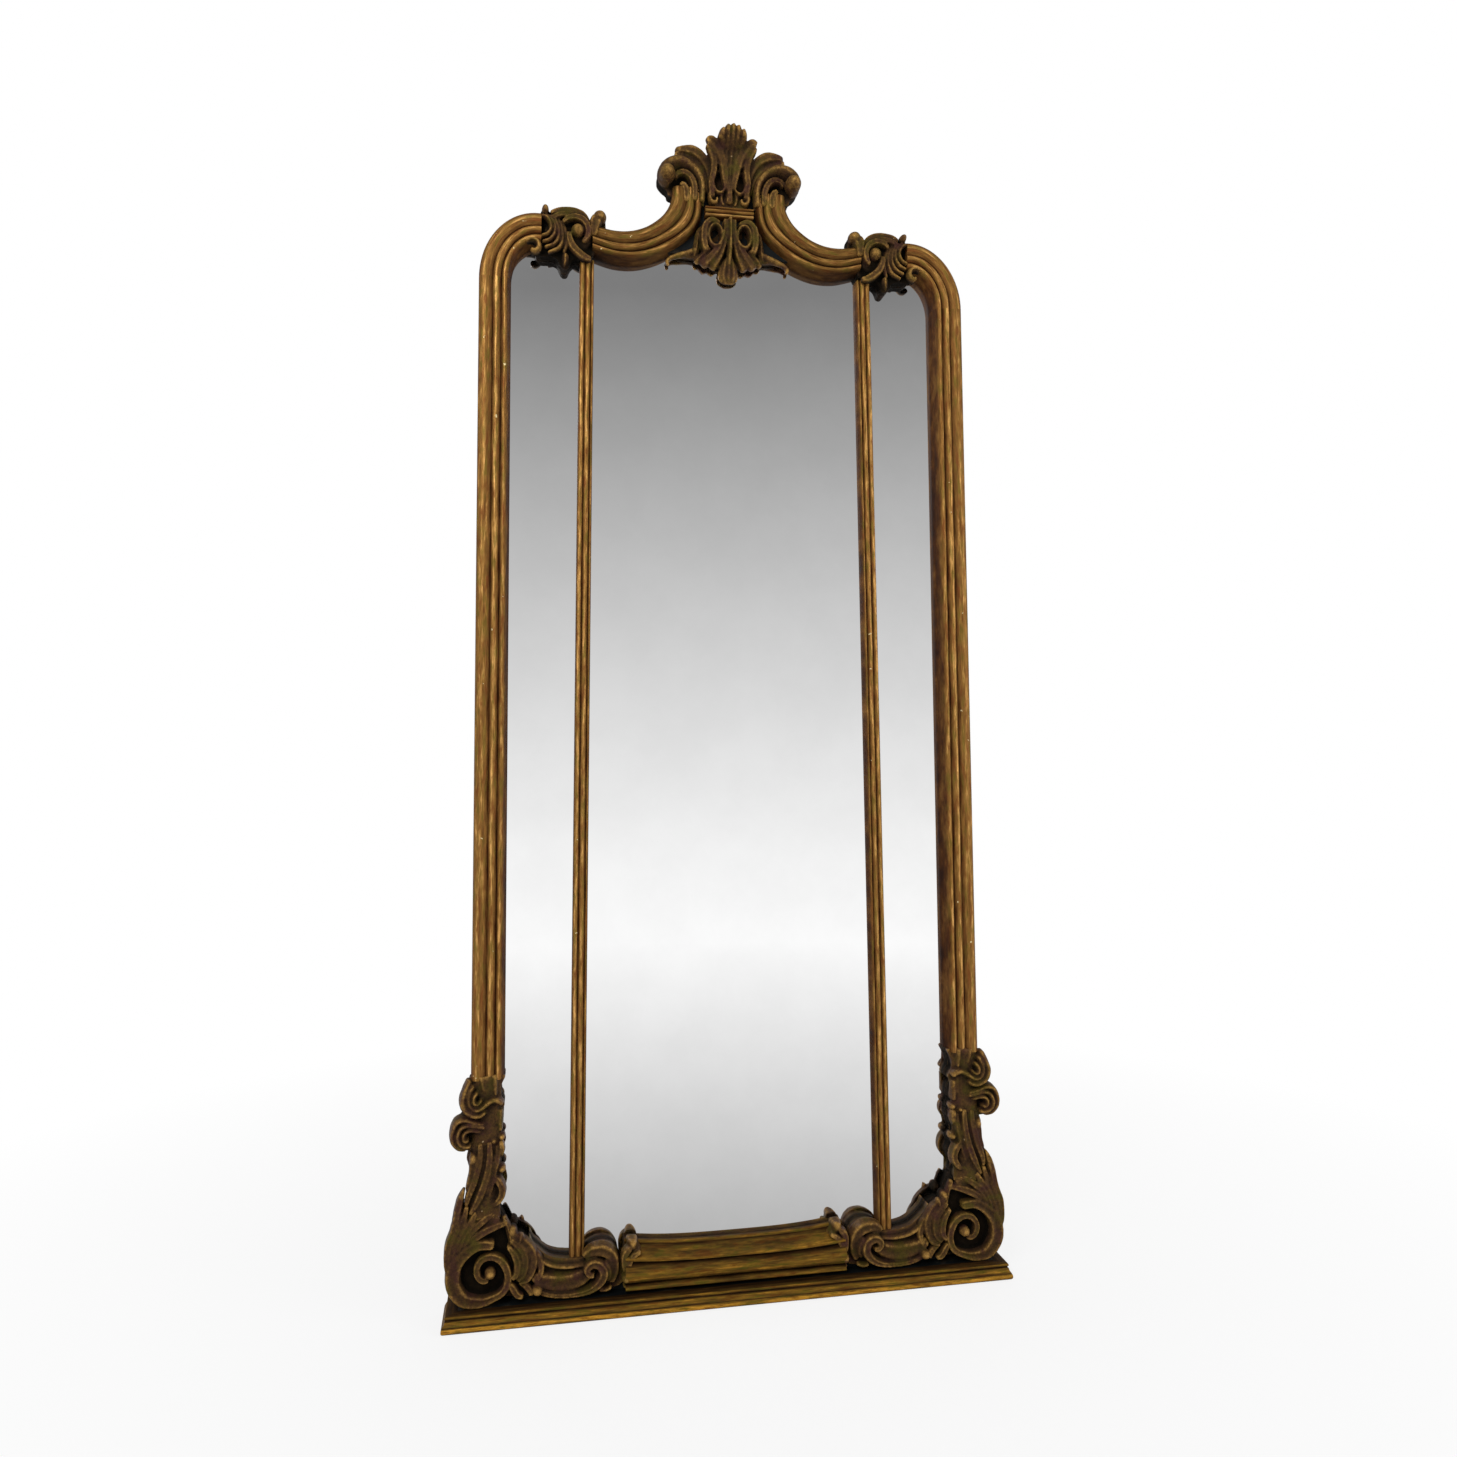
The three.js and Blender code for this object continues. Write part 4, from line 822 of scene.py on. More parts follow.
def husk(bm):
    """The acanthus husk between the volute and the C-scroll."""
    plate(bm, at_foot([
        (-66, 8), (-66, 102), (-76, 104), (-88, 99), (-100, 89), (-112, 79), (-124, 70), (-124, 40),
        (-112, 10)]), 14, 38)
    strip(bm, at_foot([(-78, 88), (-83, 100), (-85, 108), (-86, 115)]), [8, 8, 6, 3], 16, [16, 12, 8, 8],
          section=VEINED)
    knob(bm, at_foot([(-71, 114)])[0], 9, 0, 34, squash=1.2)
    for path, half, rise in (
        ([(-74, 112), (-88, 102), (-101, 88), (-107, 70), (-104, 52), (-95, 38), (-82, 34)],
         [4, 7, 8, 8, 7, 6, 4], 19),
        ([(-68, 106), (-80, 96), (-90, 82), (-93, 64), (-89, 48), (-79, 38)], [4, 7, 8, 7.5, 6.5, 4], 22),
        ([(-64, 96), (-74, 84), (-80, 68), (-79, 52), (-70, 42)], [4, 6.5, 7.5, 6.5, 4], 25),
        ([(-98, 90), (-112, 76), (-119, 58), (-117, 42), (-110, 32)], [3.5, 5.5, 6, 5.5, 4], 15),
    ):
        strip(bm, at_foot(path), half, rise, [17, 15, 14, 14, 17], section=SPOON)
    strip(bm, at_foot([(-66, 34), (-72, 26), (-80, 14), (-90, 10)]), [4, 6.5, 6.5, 4], 19, 16,
          section=SPOON)
    strip(bm, at_foot([(-84, 34), (-93, 28), (-101, 18), (-103, 10)]), [4, 6, 6, 4], 17, 16,
          section=SPOON)


def foot_scroll(bm):
    """The C-scroll below the pilaster, with the shell hump at its far end."""
    # Ground, with a sloping top edge, and a hump that stands behind the curl
    plate(bm, at_foot([
        (-98, 8), (-98, 96), (-106, 89), (-118, 78), (-128, 70), (-138, 65), (-150, 62), (-168, 60),
        (-190, 61), (-193, 71), (-203, 78), (-215, 82), (-227, 82), (-238, 78), (-246, 70), (-250, 60),
        (-250, 8)]), 15, 38)
    strip(bm, at_foot([(-97, 90), (-107, 77), (-120, 64), (-136, 55), (-153, 51), (-172, 50),
                       (-192, 52)]),
          [4.5, 5, 5, 4.6, 4.4, 4.2, 4], 15, 18)
    # The long hollow body between its two rims, and the curl at its end
    strip(bm, at_foot([(-106, 42), (-120, 33), (-140, 27), (-160, 25), (-180, 29), (-198, 38),
                       (-208, 44)]),
          [9, 13, 16, 17, 16, 12, 8], 17, 17, section=SPOON)
    strip(bm, at_foot([
        (-118, 15), (-136, 9), (-160, 7), (-185, 9), (-204, 15), (-218, 26), (-224, 40), (-218, 53),
        (-205, 56), (-196, 48), (-200, 39), (-208, 38)]),
        [4.5, 4.5, 4.5, 5, 6.5, 8.5, 9.5, 9, 8, 7, 6, 5],
        [20, 20, 22, 25, 28, 30, 31, 30, 29, 28, 27, 26], 16, section=SPOON)
    knob(bm, at_foot([(-113, 20)])[0], 9.5, -14, 28, squash=0.9)
    # The hump's outer leaf
    strip(bm, at_foot([
        (-192, 62), (-199, 70), (-212, 75), (-227, 73), (-238, 64), (-243, 50), (-243, 34), (-237, 18)]),
        [6, 9, 11, 12, 11, 9, 7.5, 5.5], [14, 18, 22, 24, 23, 20, 17, 14], 18, section=SPOON)
    strip(bm, at_foot([(-226, 59), (-233, 48), (-235, 35), (-230, 23)]), [4, 5, 5, 4], [24, 24, 22, 18],
          18)
    strip(bm, at_foot([(-238, 12), (-228, 8), (-216, 9)]), [3.5, 5, 3.5], 17, 18)


def stem(bm):
    """The fluted leaf stem above the volute."""
    plate(bm, at_foot([
        (-46, 128), (14, 140), (10, 165), (5, 186), (0, 198), (-1, 208), (1, 222), (4, 232), (6, 240),
        (3, 252), (2, 262), (-54, 262), (-56, 262), (-53, 246), (-48, 230), (-48, 222), (-54, 218),
        (-53, 208), (-50, 200), (-55, 188), (-52, 176), (-46, 164), (-50, 150)]), 15, 38)
    strip(bm, at_foot([(-26, 272), (-27, 240), (-26, 205), (-25, 175), (-24, 140)]), [25, 25, 24, 25, 27],
          [9, 16, 17, 17, 16], 16, tips="")
    for path, half, rise in (
        ([(-32, 268), (-33, 244), (-30, 220), (-24, 198), (-14, 174), (-1, 150)],
         [5, 6.5, 7.5, 8, 7, 3.5], 24),
        ([(-17, 266), (-17, 242), (-13, 222), (-7, 202), (1, 182), (5, 164)], [5, 6.5, 7, 7, 6, 3.5], 21),
        ([(-46, 262), (-45, 240), (-40, 220), (-36, 200), (-30, 180), (-22, 160)],
         [4.5, 6, 6.5, 6.5, 6, 3.5], 20),
        ([(-4, 252), (-4, 234), (-3, 216), (1, 200), (5, 188)], [4, 5.5, 5.5, 5, 2.5], 18),
        ([(-34, 212), (-46, 205), (-53, 193), (-53, 180), (-46, 169), (-36, 161)], [4, 6.5, 7, 7, 6, 3.5],
         23),
        ([(-50, 268), (-53, 254), (-50, 240)], [4, 5.5, 3.5], 18),
    ):
        strip(bm, at_foot(path), half, [rise - 5, rise, rise, rise, rise - 6], [16, 15, 15, 15, 17],
              section=SPOON)
    knob(bm, at_foot([(-52, 220)])[0], 7.5, 0, 34)
    knob(bm, at_foot([(-6, 240)])[0], 8, -6, 30, squash=1.4)


def collar(bm):
    """The two curls, one over the other, from which the upright rises."""
    plate(bm, at_foot([
        (-56, 250), (4, 252), (14, 256), (24, 266), (29, 282), (26, 298), (16, 310), (12, 316), (17, 336),
        (12, 350), (4, 362), (-2, 374), (-54, 374), (-52, 360), (-48, 342), (-54, 332), (-56, 322),
        (-46, 314), (-52, 302), (-54, 288), (-50, 280), (-54, 272)]), 14, 38)
    strip(bm, at_foot([(-24, 376), (-26, 345), (-27, 310), (-27, 280), (-26, 256)]), 25,
          [16, 16, 16, 16, 10], 16, tips="")
    # Lower curl
    strip(bm, at_foot([(-24, 298), (-8, 302), (8, 308), (22, 304), (28, 290), (27, 274), (18, 262),
                       (6, 258)]),
          [4.2, 5.6, 6.3, 6.3, 6.3, 6.3, 5.6, 4.2], [24, 28, 30, 32, 34, 32, 28, 22], 18)
    strip(bm, at_foot([(-26, 292), (-10, 296), (4, 299), (15, 295), (20, 283), (17, 271), (8, 264),
                       (-2, 263)]),
          [4.2, 5.0, 5.6, 5.6, 5.6, 5.6, 5.0, 4.2], [22, 26, 28, 30, 32, 30, 26, 20], 16)
    strip(bm, at_foot([(-18, 286), (-4, 290), (6, 289), (11, 281), (8, 273), (2, 274)]),
          [4.2, 4.8, 5.0, 5.0, 4.8, 4.2], [22, 26, 28, 28, 26, 22], 16)
    # Upper curl and its inner nub
    strip(bm, at_foot([(2, 372), (9, 352), (12, 338), (7, 325), (-4, 317), (-16, 315), (-26, 320)]),
          [5.6, 7.0, 7.7, 7.7, 7.0, 6.3, 4.2], [24, 30, 32, 34, 34, 32, 28], 16)
    strip(bm, at_foot([(-5, 364), (2, 350), (2, 336), (-5, 326), (-15, 325), (-24, 330), (-34, 336),
                       (-44, 336), (-53, 328)]),
          [5.6, 6.3, 6.3, 6.3, 5.9, 5.9, 6.4, 7.0, 5.0], [22, 28, 30, 32, 32, 30, 26, 24, 20], 16)
    strip(bm, at_foot([(-12, 352), (-6, 344), (-7, 335), (-14, 334), (-19, 340)]),
          [4.2, 5.0, 5.0, 4.8, 3.6], [24, 28, 30, 28, 24], 15)
    # Flutes at the inner side
    for path in ([(-36, 336), (-37, 318), (-38, 296)], [(-43, 334), (-43, 316), (-44, 296)],
                 [(-50, 320), (-49, 304), (-50, 284)], [(-32, 316), (-34, 300), (-33, 284)]):
        strip(bm, at_foot(path), [4.5, 5.5, 4], 18, 18)
    for path in ([(-18, 376), (-20, 360), (-24, 350)], [(-40, 376), (-40, 360), (-42, 344)]):
        strip(bm, at_foot(path), [6, 6, 4], 18, 16)
    knob(bm, at_foot([(-52, 273)])[0], 6.5, 0, 32)
    knob(bm, at_foot([(-39, 268)])[0], 5, -4, 26)


def on_shoulder(points):
    """Places from distances in from the shoulder's outer side and up from the arch."""
    return [(SHOULDER_OUTER - dx, ARCH_TOP + dz) for dx, dz in points]


def shoulder_ornament(bm):
    """A cartouche with a fluted crown, a curl over a boss, and nested crescents."""
    plate(bm, on_shoulder([
        (-2, -4), (-1, 6), (6, 12), (13, 8), (22, 4), (34, 8), (46, 9), (56, 6), (68, 6), (78, 0),
        (87, -10), (95, -20), (98, -48), (95, -66), (86, -74), (72, -78), (60, -78), (52, -86), (48, -96),
        (40, -98), (34, -92), (28, -80), (16, -76), (-2, -76), (-10, -70), (-8, -52)]), 16, 38)
    strip(bm, on_shoulder([(6, -34), (30, -36), (56, -38), (80, -38), (92, -40)]), [20, 28, 28, 26, 20],
          10, 18)
    # The fluted crown of the cartouche
    for path, half, rise in (
        ([(86, -12), (76, 0), (62, 5), (46, 6), (30, 5), (16, 2)], [4, 6, 6.5, 6.5, 6, 4], 20),
        ([(80, -8), (66, -2), (50, -3), (36, -4), (24, -8), (12, -12)], [4, 6, 6.5, 6, 5.5, 3.5], 23),
    ):
        strip(bm, on_shoulder(path), half, [rise - 6, rise, rise + 3, rise + 3, rise, rise - 6], 18,
              section=SPOON)
    knob(bm, on_shoulder([(7, 6)])[0], 6.5, -8, 34, squash=1.3)
    # The curl that turns over its boss, and the leaf that flows from the boss to the pilaster
    strip(bm, on_shoulder([(38, -18), (50, -10), (64, -9), (77, -15), (84, -28), (82, -42), (74, -50)]),
          [4, 6, 7, 7.5, 7, 6, 4], [24, 28, 30, 30, 28, 24, 18], 18, section=SPOON)
    knob(bm, on_shoulder([(65, -31)])[0], 12, -14, 28)
    knob(bm, on_shoulder([(65, -31)])[0], 4, -17, 20)
    strip(bm, on_shoulder([(50, -34), (51, -48), (57, -61), (68, -71), (80, -77), (90, -78)]),
          [5, 7, 8, 8, 7, 5], [24, 24, 22, 20, 16, 12], 18, section=SPOON)
    # Thin crescents that open towards the corner moulding, one inside the other
    for path, half, rise in (
        ([(0, -6), (9, -10), (16, -20), (17, -32), (11, -41), (0, -44)], [3, 4, 4.5, 4.5, 4, 3], 24),
        ([(8, -4), (17, -11), (24, -23), (24, -38), (16, -50), (2, -54)], [3, 4, 4.5, 4.5, 4.5, 3], 22),
        ([(16, -4), (25, -13), (31, -28), (31, -45), (23, -58), (6, -64)], [3, 4, 4.5, 4.5, 4.5, 3], 21),
        ([(25, -5), (33, -16), (38, -32), (38, -50), (31, -64), (12, -73)], [3, 4, 4.5, 4.5, 4.5, 3], 19),
        ([(34, -12), (42, -26), (45, -42), (45, -58), (40, -72)], [3, 4, 4.5, 4.5, 3.5], 17),
    ):
        strip(bm, on_shoulder(path), half, [rise - 5, rise, rise, rise, rise - 5], 18)
    strip(bm, on_shoulder([(44, -72), (43, -84), (41, -97)]), [6, 7.5, 6.5], [16, 18, 16], [18, 22, 26],
          section=VEINED)
    # The curled end of the moulding's inner roll
    strip(bm, on_shoulder([(-28, -55), (-17, -52), (-7, -56), (-4, -66), (-11, -73), (-18, -69)]),
          [4, 4.5, 5.5, 6, 5.5, 4.5], [16, 20, 22, 22, 20, 18], 18)


def finial(bm):
    """The thumb of leaf that stands up at the shoulder's inner side."""
    plate(bm, on_shoulder([(84, -24), (84, -10), (90, -2), (97, 6), (106, 8), (113, 4), (116, -6),
                           (113, -26)]), 12, 38)
    strip(bm, on_shoulder([(94, -36), (95, -22), (98, -10), (104, -3)]), [8, 10, 12, 9], [18, 22, 26, 22],
          14, section=SPOON)
    knob(bm, on_shoulder([(105, -2)])[0], 12, -12, 24)
    strip(bm, on_shoulder([(85, -32), (86, -20), (90, -10)]), [5, 6, 4], 20, 16, section=SPOON)


def arm_volute(bm):
    """The fat scroll in which an arm's rolls end beside the crest."""
    at = (NECK_HALF, ARM_TOP)
    plate(bm, shifted(at, [(0, -30), (1, 10), (8, 34), (24, 48), (48, 54), (70, 48), (84, 34), (87, 14),
                           (80, 2), (70, -6), (62, -16)]), 12, 38)
    # The outer roll swells as it turns over, and its end is a fat scroll
    strip(bm, shifted(at, [(6, -26), (5, 0), (11, 22), (26, 38), (46, 44), (64, 38), (75, 25), (74, 11),
                           (65, 5)]),
          [6, 7, 8.5, 10, 12, 13, 13, 11, 8], [20, 24, 26, 28, 34, 38, 40, 38, 32], 16)
    strip(bm, shifted(at, [(19, -24), (19, -2), (25, 15), (37, 25), (50, 24), (57, 16)]),
          [6.5, 7, 7, 7, 6, 5], [18, 22, 24, 24, 22, 20], 16, section=SPOON)
    strip(bm, shifted(at, [(34, -26), (34, -10), (38, 2), (46, 8)]), [7, 8, 7, 4.5], [17, 18, 18, 16], 16,
          section=SPOON)
    knob(bm, shifted(at, [(72, 16)])[0], 15, -34, 20)


def crest_leaf(bm):
    """The palmette above the bar, which leans forward to a tip that rolls over."""
    foot_z = BAR_CENTRE + 11
    rise = CREST_TIP - foot_z

    def place(points, side=1):
        return [(side * x, foot_z + share * rise) for x, share in points]

    rear = [20, 12, 4, -6, -18, -30]
    # The middle tongue, whose tip rolls forward
    strip(bm, place([(0, 0.04), (0, 0.25), (0, 0.48), (0, 0.7), (0, 0.86), (0, 0.97)]),
          [9, 7, 12, 20, 26, 22], [18, 16, 16, 16, 17, 16], rear, section=FLUTED)
    # The tongue's tip: five ribs that roll over forward together
    for x in (-20, -10, 0, 10, 20):
        drop = (x / 20) ** 2 * 0.07
        strip(bm, place([(0.7 * x, 0.68), (0.9 * x, 0.8), (x, 0.92 - drop), (0.9 * x, 0.99 - drop)]),
              [5, 7, 7.5, 6], [14, 26, 28, 22], [-4, -12, -20, -26], tips="start")
    for side in (1, -1):
        strip(bm, place([(7, 0.22), (11, 0.42), (17, 0.6), (27, 0.74), (38, 0.82), (47, 0.8)], side),
              [4.5, 6.5, 8.5, 10, 9, 5], 16, [12, 4, -4, -10, -14, -14], section=SPOON)
        strip(bm, place([(31, 0.12), (35, 0.3), (31, 0.48), (33, 0.62), (41, 0.72), (46, 0.76)], side),
              [5, 6.5, 7, 7.5, 6.5, 4], 16, [18, 12, 4, -4, -10, -12], section=SPOON)
        strip(bm, place([(36, 0.28), (40, 0.48), (52, 0.63), (72, 0.71), (98, 0.71)], side),
              [5, 8, 10.5, 11, 6], 14, [18, 10, 4, 0, 2], section=SPOON)
        strip(bm, place([(40, 0.2), (47, 0.42), (62, 0.55), (84, 0.62), (104, 0.66)], side),
              [4, 6.5, 9, 9, 5], 12, [20, 14, 8, 4, 4], section=SPOON)
        strip(bm, place([(35, 0.24), (37, 0.13), (32, 0.06), (25, 0.06), (23, 0.12)], side),
              [3.5, 4.5, 4.5, 4, 3], 18, 20)
        strip(bm, place([(10, 0.02), (14, 0.08), (14, 0.16), (10, 0.2)], side), [3, 4, 4, 3], 14, 20)
        eye = place([(19, 0.33)], side)[0]
        strip(bm, ring_path(eye, 11.5, 20), 3, 16, 14, tips="")
        knob(bm, place([(96, 0.73)], side)[0], 7, -8, 16)
    plate(bm, place([
        (-24, -0.02), (24, -0.02), (40, 0.2), (50, 0.4), (70, 0.6), (60, 0.68), (40, 0.66), (20, 0.62),
        (-20, 0.62), (-40, 0.66), (-60, 0.68), (-70, 0.6), (-50, 0.4), (-40, 0.2)]), 12, 24)
    plate(bm, place([(-18, 0.5), (18, 0.5), (40, 0.68), (20, 0.84), (0, 0.96), (-20, 0.84), (-40, 0.68)]),
          -12, 8)


def pendant_leaf(bm):
    """The palmette that hangs below the bar, over the plates' top edge."""
    top = BAR_CENTRE - 11

    def place(points, side=1):
        return [(side * x, top - drop) for x, drop in points]

    strip(bm, place([(0, 4), (0, 30), (0, 60), (0, 90)]), [4.5, 4, 5, 5], [28, 30, 28, 16],
          [16, 16, 20, 26])
    strip(bm, place([(0, 72), (0, 86), (0, 100), (0, 111), (0, 118)]), [9, 15, 19, 18, 12],
          [16, 16, 15, 13, 10], [22, 26, 30, 32, 33], section=FLUTED)
    for side in (1, -1):
        strip(bm, place([(8, 5), (8, 30), (11, 50), (19, 70), (29, 86), (33, 92)], side),
              [4.5, 5, 6.5, 8, 8.5, 5], [22, 26, 24, 20, 16, 10],
              [16, 18, 20, 24, 28, 30], section=SPOON)
        strip(bm, place([(15, 46), (22, 60), (34, 74), (46, 84), (50, 88)], side), [4, 6.5, 8.5, 8.5, 5],
              [22, 22, 18, 14, 10], [18, 20, 24, 28, 30], section=SPOON)
        strip(bm, place([(36, 60), (48, 70), (58, 78), (63, 82)], side), [4, 6, 6.5, 4], [18, 16, 14, 10],
              [20, 24, 28, 30], section=VEINED)
        strip(bm, ring_path(place([(27, 37)], side)[0], 13, 20.5), 4, 22, 18, tips="")
        strip(bm, place([(18, 12), (34, 8), (46, 20), (49, 40), (47, 56), (43, 66)], side),
              [4, 6, 7, 7.5, 7, 6], [20, 24, 26, 26, 24, 20], 20, section=SPOON)
        strip(bm, place([(46, 14), (57, 28), (60, 46), (62, 62), (66, 74)], side), [3, 5, 6, 7, 5],
              [14, 18, 18, 16, 12], [22, 22, 24, 26, 28], section=VEINED)
        strip(bm, place([(58, 58), (74, 66), (92, 71), (106, 75), (114, 82), (113, 90)], side),
              [4, 6, 5.5, 4.5, 4, 3], [12, 14, 12, 10, 9, 8], [24, 26, 28, 30, 31, 32])
    plate(bm, place([
        (-30, 8), (30, 8), (46, 20), (56, 44), (66, 62), (96, 72), (60, 76), (44, 80), (24, 88),
        (-24, 88), (-44, 80), (-60, 76), (-96, 72), (-66, 62), (-56, 44), (-46, 20)]), 22, 36)


# The rail end's distances count from this far inside the rail's own end
RAIL_END_REACH = 204


def rail_end(bm):
    """The base rail's end: its top curls up and over, and a band runs down to a square knop."""
    at = (RAIL_HALF - RAIL_END_REACH, PLINTH_TOP)
    strip(bm, shifted(at, [(166, 62), (176, 68), (183, 77), (183, 87)]),
          [6, 8, 10, 11], [14, 24, 33, 35], 30)
    strip(bm, shifted(at, [(186, 76), (193, 70), (197, 62), (198, 50), (196, 36)]), [5, 7, 6.5, 5.5, 4.5],
          20, 14, section=SPOON)
    strip(bm, shifted(at, [(170, 68), (182, 62), (188, 52), (190, 40)]), [4, 6, 5.5, 4], 18, 12,
          section=SPOON)
    knob(bm, shifted(at, [(195, 27)])[0], 8, -14, 26, squash=1.1)
    strip(bm, shifted(at, [(184, 12), (192, 10), (199, 14)]), [3, 4, 3], 18, 14)


# Each side's gouge marks come from another stretch of the same noise
SEED_STEP = 3.0
# floor_depth is the depth behind which each piece's hollows get painted shade
for side, word in ((-1, "left"), (1, "right")):
    seed = SEED_STEP * side
    carve(f"{word}_rail_curl", rail_end, "base_rail_moulding", side=side, seed=seed, floor_depth=24)
    carve(f"{word}_volute_carving", volute, f"{word}_volute", side=side, seed=seed)
    carve(f"{word}_husk_carving", husk, f"{word}_husk_leaf", side=side, seed=seed)
    carve(f"{word}_foot_scroll_carving", foot_scroll, f"{word}_foot_scroll", side=side, seed=seed,
          floor_depth=26)
    carve(f"{word}_stem_carving", stem, f"{word}_stem_leaf", side=side, seed=seed, floor_depth=20)
    carve(f"{word}_collar_carving", collar, f"{word}_collar", side=side, seed=seed, floor_depth=20)
    carve(f"{word}_shoulder_carving", shoulder_ornament, f"{word}_shoulder_ornament", side=side,
          seed=seed, floor_depth=6)
    carve(f"{word}_finial_carving", finial, f"{word}_shoulder_ornament", side=side, seed=seed)
    carve(f"{word}_arm_volute_carving", arm_volute, f"{word}_scroll_arm", side=side, seed=seed)
    moulding(f"{word}_arm", flipped(arm_edges, side), f"{word}_scroll_arm", material=arm_gilt)
carve("crest_leaf_carving", crest_leaf, "crest_leaf", floor_depth=16)
carve("pendant_leaf_carving", pendant_leaf, "pendant_leaf", floor_depth=27)


# ---------------------------------------------------------------- back

PLANK_WIDTH = 0.12
SET_IN = 0.001
GROOVE_HALF = 0.0012
GROOVE_DEPTH = 0.0024
TOUCHING = 0.0002
SCREW_COLUMNS = [-436, -282, -258, 258, 282, 436]
SCREW_ROWS = np.linspace(PLINTH_TOP + 40, SPRING - 40, 7)
# A screw's head from its rim to its crown: radius, and depth from the back of the mirror
SCREW_HEAD = [(4.2, -3.0), (4.2, -0.5), (3.4, -0.1)]
SCREW_TURN = 1.9
# Half the angle that the slot takes out of the rim, in radians
SLOT_HALF = 0.16


def planked_back(node_name):
    """A backboard with a narrow V between its planks, set in a little so that the screws show."""
    node = frame["nodes"][node_name]
    low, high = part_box(node_name)
    planks = max(1, round((high.x - low.x) / PLANK_WIDTH))
    joints = [low.x + (high.x - low.x) * i / planks for i in range(1, planks)]
    bm = bmesh.new()
    bm.from_mesh(node.data)
    bm.transform(node.matrix_world)
    bmesh.ops.remove_doubles(bm, verts=bm.verts, dist=1e-6)
    for joint in joints:
        for shift in (-GROOVE_HALF, 0, GROOVE_HALF):
            bmesh.ops.bisect_plane(bm, geom=bm.verts[:] + bm.edges[:] + bm.faces[:], dist=1e-6,
                                   plane_co=(joint + shift, 0, 0), plane_no=(1, 0, 0))
    for vert in bm.verts:
        if vert.co.y > high.y - TOUCHING:
            at_joint = any(abs(vert.co.x - joint) < TOUCHING for joint in joints)
            vert.co.y -= GROOVE_DEPTH if at_joint else SET_IN
    finish_piece(bm, f"{node_name}_planks", board_pine, "back_boards", node_name, smooth=False)


def rusty_iron():
    """Hand-filed iron, browned by rust."""
    material, tree, shader, _ = new_material("rusted_iron")
    place = add(tree, "ShaderNodeTexCoord").outputs["Object"]
    rust = add(tree, "ShaderNodeTexNoise", Vector=place, Scale=500.0, Detail=4.0, Roughness=0.6)
    tone = add(tree, "ShaderNodeValToRGB", stops=[(0.35, "#3b3a38"), (0.65, "#5b3a22")],
               Fac=rust.outputs["Fac"])
    tree.links.new(tone.outputs[0], shader.inputs["Base Color"])
    rough = add(tree, "ShaderNodeMapRange", Value=rust.outputs["Fac"], in1=0.3, in2=0.7, in3=0.4, in4=0.8)
    tree.links.new(rough.outputs[0], shader.inputs["Roughness"])
    shader.inputs["Metallic"].default_value = 0.7
    return material


def screws():
    """Slotted heads along the edges of the backboards, each turned its own way."""
    bm = bmesh.new()
    places = [(x, z) for x in SCREW_COLUMNS for z in SCREW_ROWS]
    for number, (x, z) in enumerate(places, 1):
        for half_turn in (0, math.pi):
            first = SCREW_TURN * number + half_turn
            arc = [first + a for a in np.linspace(SLOT_HALF, math.pi - SLOT_HALF, 12)]
            rings = []
            for radius, depth in SCREW_HEAD:
                back = BACK - FACE + depth
                rings.append([mm(x + radius * math.cos(a), back, z + radius * math.sin(a)) for a in arc])
            sweep(bm, rings)
    bmesh.ops.recalc_face_normals(bm, faces=bm.faces)
    finish_piece(bm, "backboard_screws", rusty_iron(), "back_boards", angle=30)


for word in ("left", "centre", "right"):
    planked_back(f"{word}_backboard")
screws()


# ---------------------------------------------------------------- stage, light and camera

def plain_stage():
    """A pale floor that keeps the mirror's shadow and is white to the camera's eye."""
    bm = bmesh.new()
    bmesh.ops.create_grid(bm, x_segments=2, y_segments=2, size=6)
    mesh = bpy.data.meshes.new("floor")
    bm.to_mesh(mesh)
    bm.free()
    floor = bpy.data.objects.new("floor", mesh)
    scene.collection.objects.link(floor)
    material, tree, shader, output = new_material("matt_white_floor_paint")
    shader.inputs["Base Color"].default_value = linear("#e6e6e6")
    shader.inputs["Roughness"].default_value = 0.9
    # To the camera the floor is nearly white, and quite white where the mirror's shadow doesn't fall
    ray = add(tree, "ShaderNodeLightPath").outputs["Is Camera Ray"]
    place = add(tree, "ShaderNodeTexCoord").outputs["Object"]
    reach = add(tree, "ShaderNodeVectorMath", {"operation": "LENGTH"}, in0=place).outputs["Value"]
    fade = add(tree, "ShaderNodeMapRange", Value=reach, in1=0.4, in2=2.0, in3=0.8, in4=1.0)
    share = add(tree, "ShaderNodeMath", {"operation": "MULTIPLY"}, in0=fade.outputs[0], in1=ray)
    white = add(tree, "ShaderNodeEmission", Color=linear("#ffffff"), Strength=1.0)
    mixed = add(tree, "ShaderNodeMixShader", in0=share.outputs[0], in1=shader.outputs[0],
                in2=white.outputs[0])
    tree.links.new(mixed.outputs[0], output.inputs["Surface"])
    mesh.materials.append(material)
    floor.visible_glossy = False
    return floor


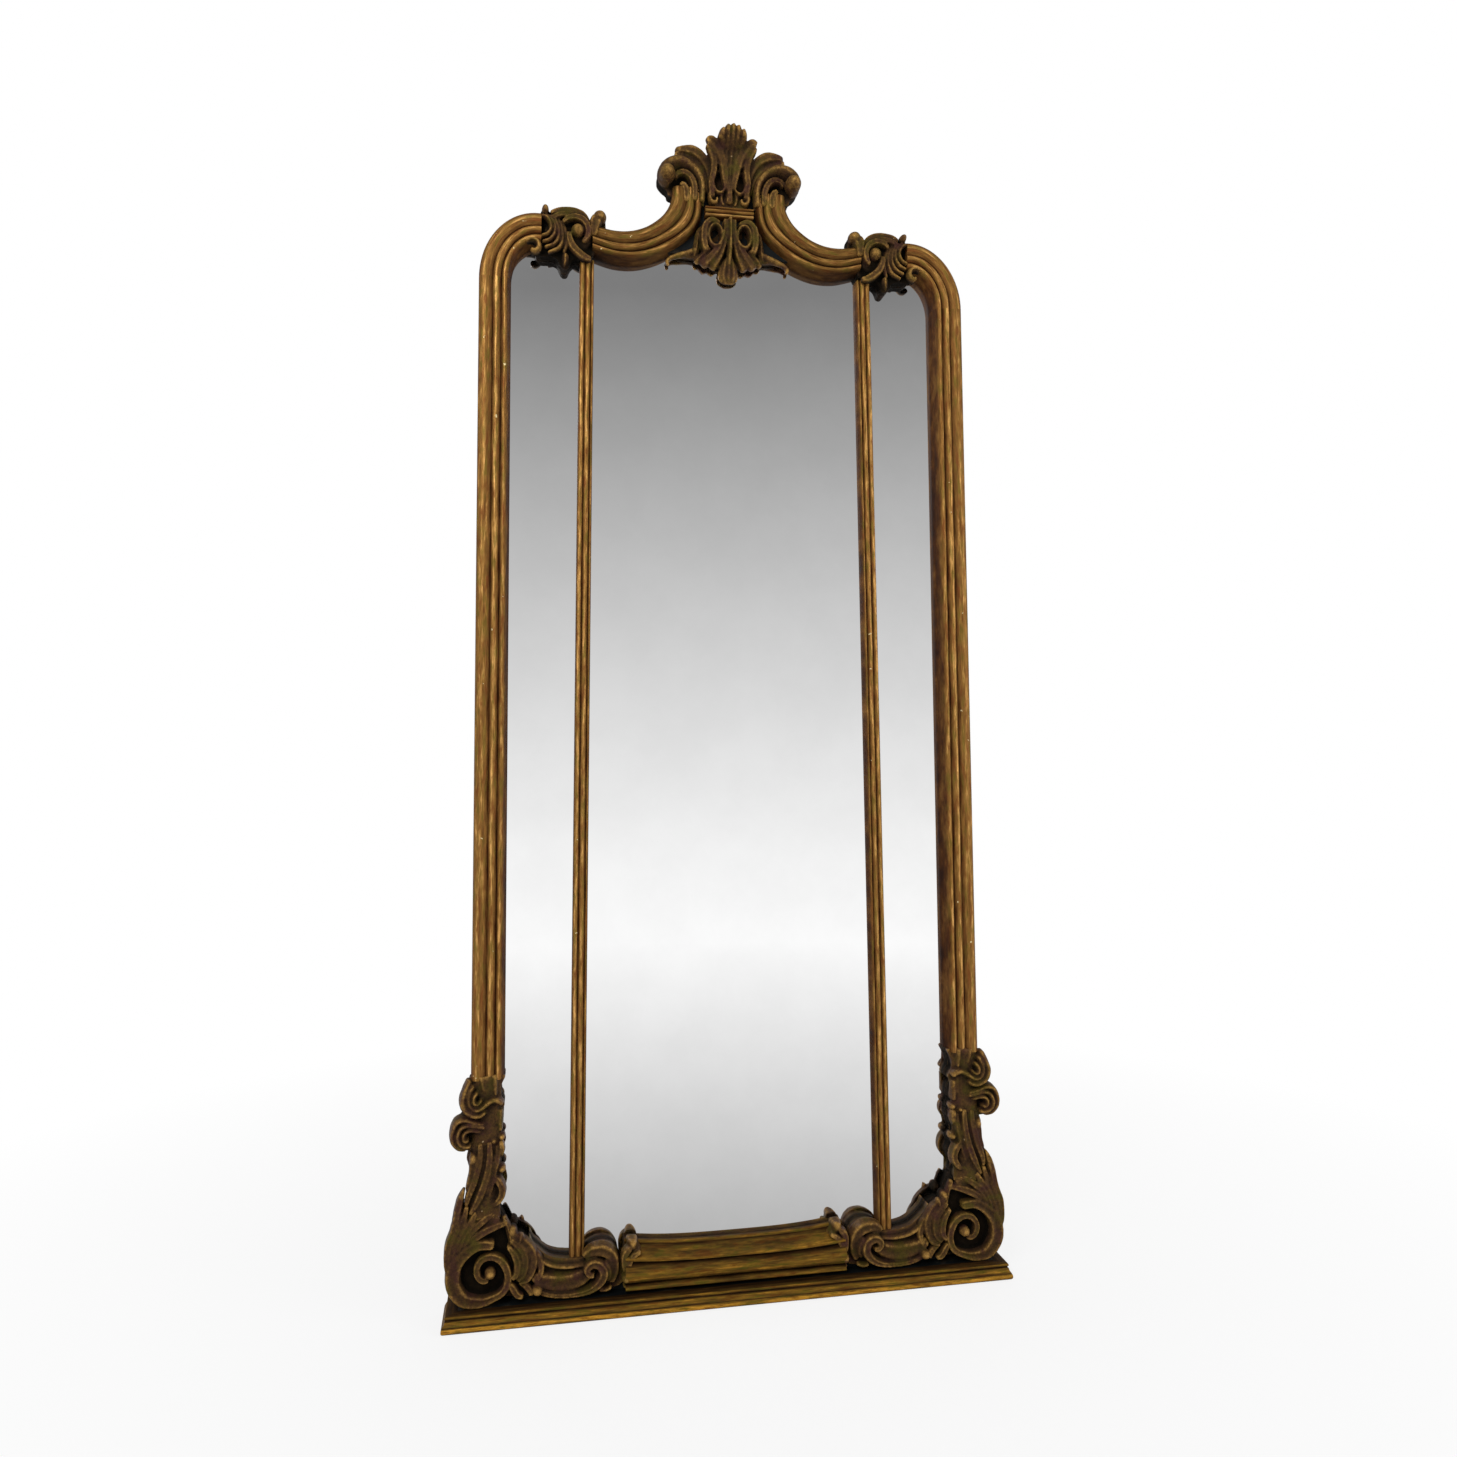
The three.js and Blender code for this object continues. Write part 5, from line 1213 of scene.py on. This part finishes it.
def studio_world():
    """White to the camera, an even soft light on the mirror, and a gradient in reflections."""
    world = bpy.data.worlds.new("studio")
    scene.world = world
    world.use_nodes = True
    tree = world.node_tree
    tree.nodes.clear()
    ray = add(tree, "ShaderNodeLightPath").outputs
    heading = add(tree, "ShaderNodeTexCoord").outputs["Generated"]
    height = add(tree, "ShaderNodeSeparateXYZ", Vector=heading).outputs["Z"]
    # What the plates show: grey above, white at eye level and grey again towards the floor
    seen = add(tree, "ShaderNodeMapRange", Value=height, in1=-0.5, in2=0.5)
    sky = add(tree, "ShaderNodeValToRGB", Fac=seen.outputs[0], stops=[
        (0.0, "#a8a8a8"), (0.12, "#bababa"), (0.34, "#ffffff"), (0.42, "#f6f6f6"), (0.9, "#7f7f7f"),
        (1.0, "#7c7c7c")])
    reflected = add(tree, "ShaderNodeBackground", Color=sky.outputs[0], Strength=1.0)
    soft = add(tree, "ShaderNodeBackground", Color=linear("#ffffff"), Strength=0.55)
    white = add(tree, "ShaderNodeBackground", Color=linear("#ffffff"), Strength=1.0)
    lit = add(tree, "ShaderNodeMixShader", in0=ray["Is Glossy Ray"], in1=soft.outputs[0],
              in2=reflected.outputs[0])
    clear = add(tree, "ShaderNodeMath", {"operation": "MAXIMUM"}, in0=ray["Is Camera Ray"],
                in1=ray["Is Transmission Ray"])
    shown = add(tree, "ShaderNodeMixShader", in0=clear.outputs[0], in1=lit.outputs[0],
                in2=white.outputs[0])
    add(tree, "ShaderNodeOutputWorld", Surface=shown.outputs[0])


def softbox(name, place, target, size, power):
    """A round, soft lamp that faces its target."""
    lamp = bpy.data.lights.new(name, "AREA")
    lamp.shape = "DISK"
    lamp.size = size
    lamp.energy = power
    holder = bpy.data.objects.new(name, lamp)
    scene.collection.objects.link(holder)
    holder.location = place
    holder.rotation_euler = (Vector(target) - Vector(place)).to_track_quat("-Z", "Y").to_euler()


def photo_camera():
    """The photograph's view: a lens in pixels of its 1457-pixel frame, and where it stood."""
    pixels = 1457
    lens_pixels = 1100
    centre_x, centre_y = 736.1, 681.1
    stand = mm(-357.6, -1949.7, 934.1)
    yaw, pitch, roll = (math.radians(angle) for angle in (-10.539, 4.116, -0.41))
    camera = bpy.data.objects.new("camera", bpy.data.cameras.new("camera"))
    scene.collection.objects.link(camera)
    camera.data.sensor_width = 36
    camera.data.lens = lens_pixels / pixels * 36
    camera.data.shift_x = (pixels / 2 - centre_x) / pixels
    camera.data.shift_y = (centre_y - pixels / 2) / pixels
    level_view = Matrix.Rotation(yaw, 4, "Z") @ Matrix.Rotation(math.pi / 2 + pitch, 4, "X")
    turn = level_view @ Matrix.Rotation(roll, 4, "Z")
    camera.matrix_world = Matrix.Translation(stand) @ turn
    camera.data.clip_end = 50
    scene.camera = camera


scene.view_settings.view_transform = "Standard"
plain_stage()
studio_world()
softbox("key", (-1.6, -2.6, 2.9), (0, 0, 1.1), 1.8, 60)
softbox("fill", (3.4, -2.2, 1.8), (0, 0, 1.0), 2.0, 40)
photo_camera()
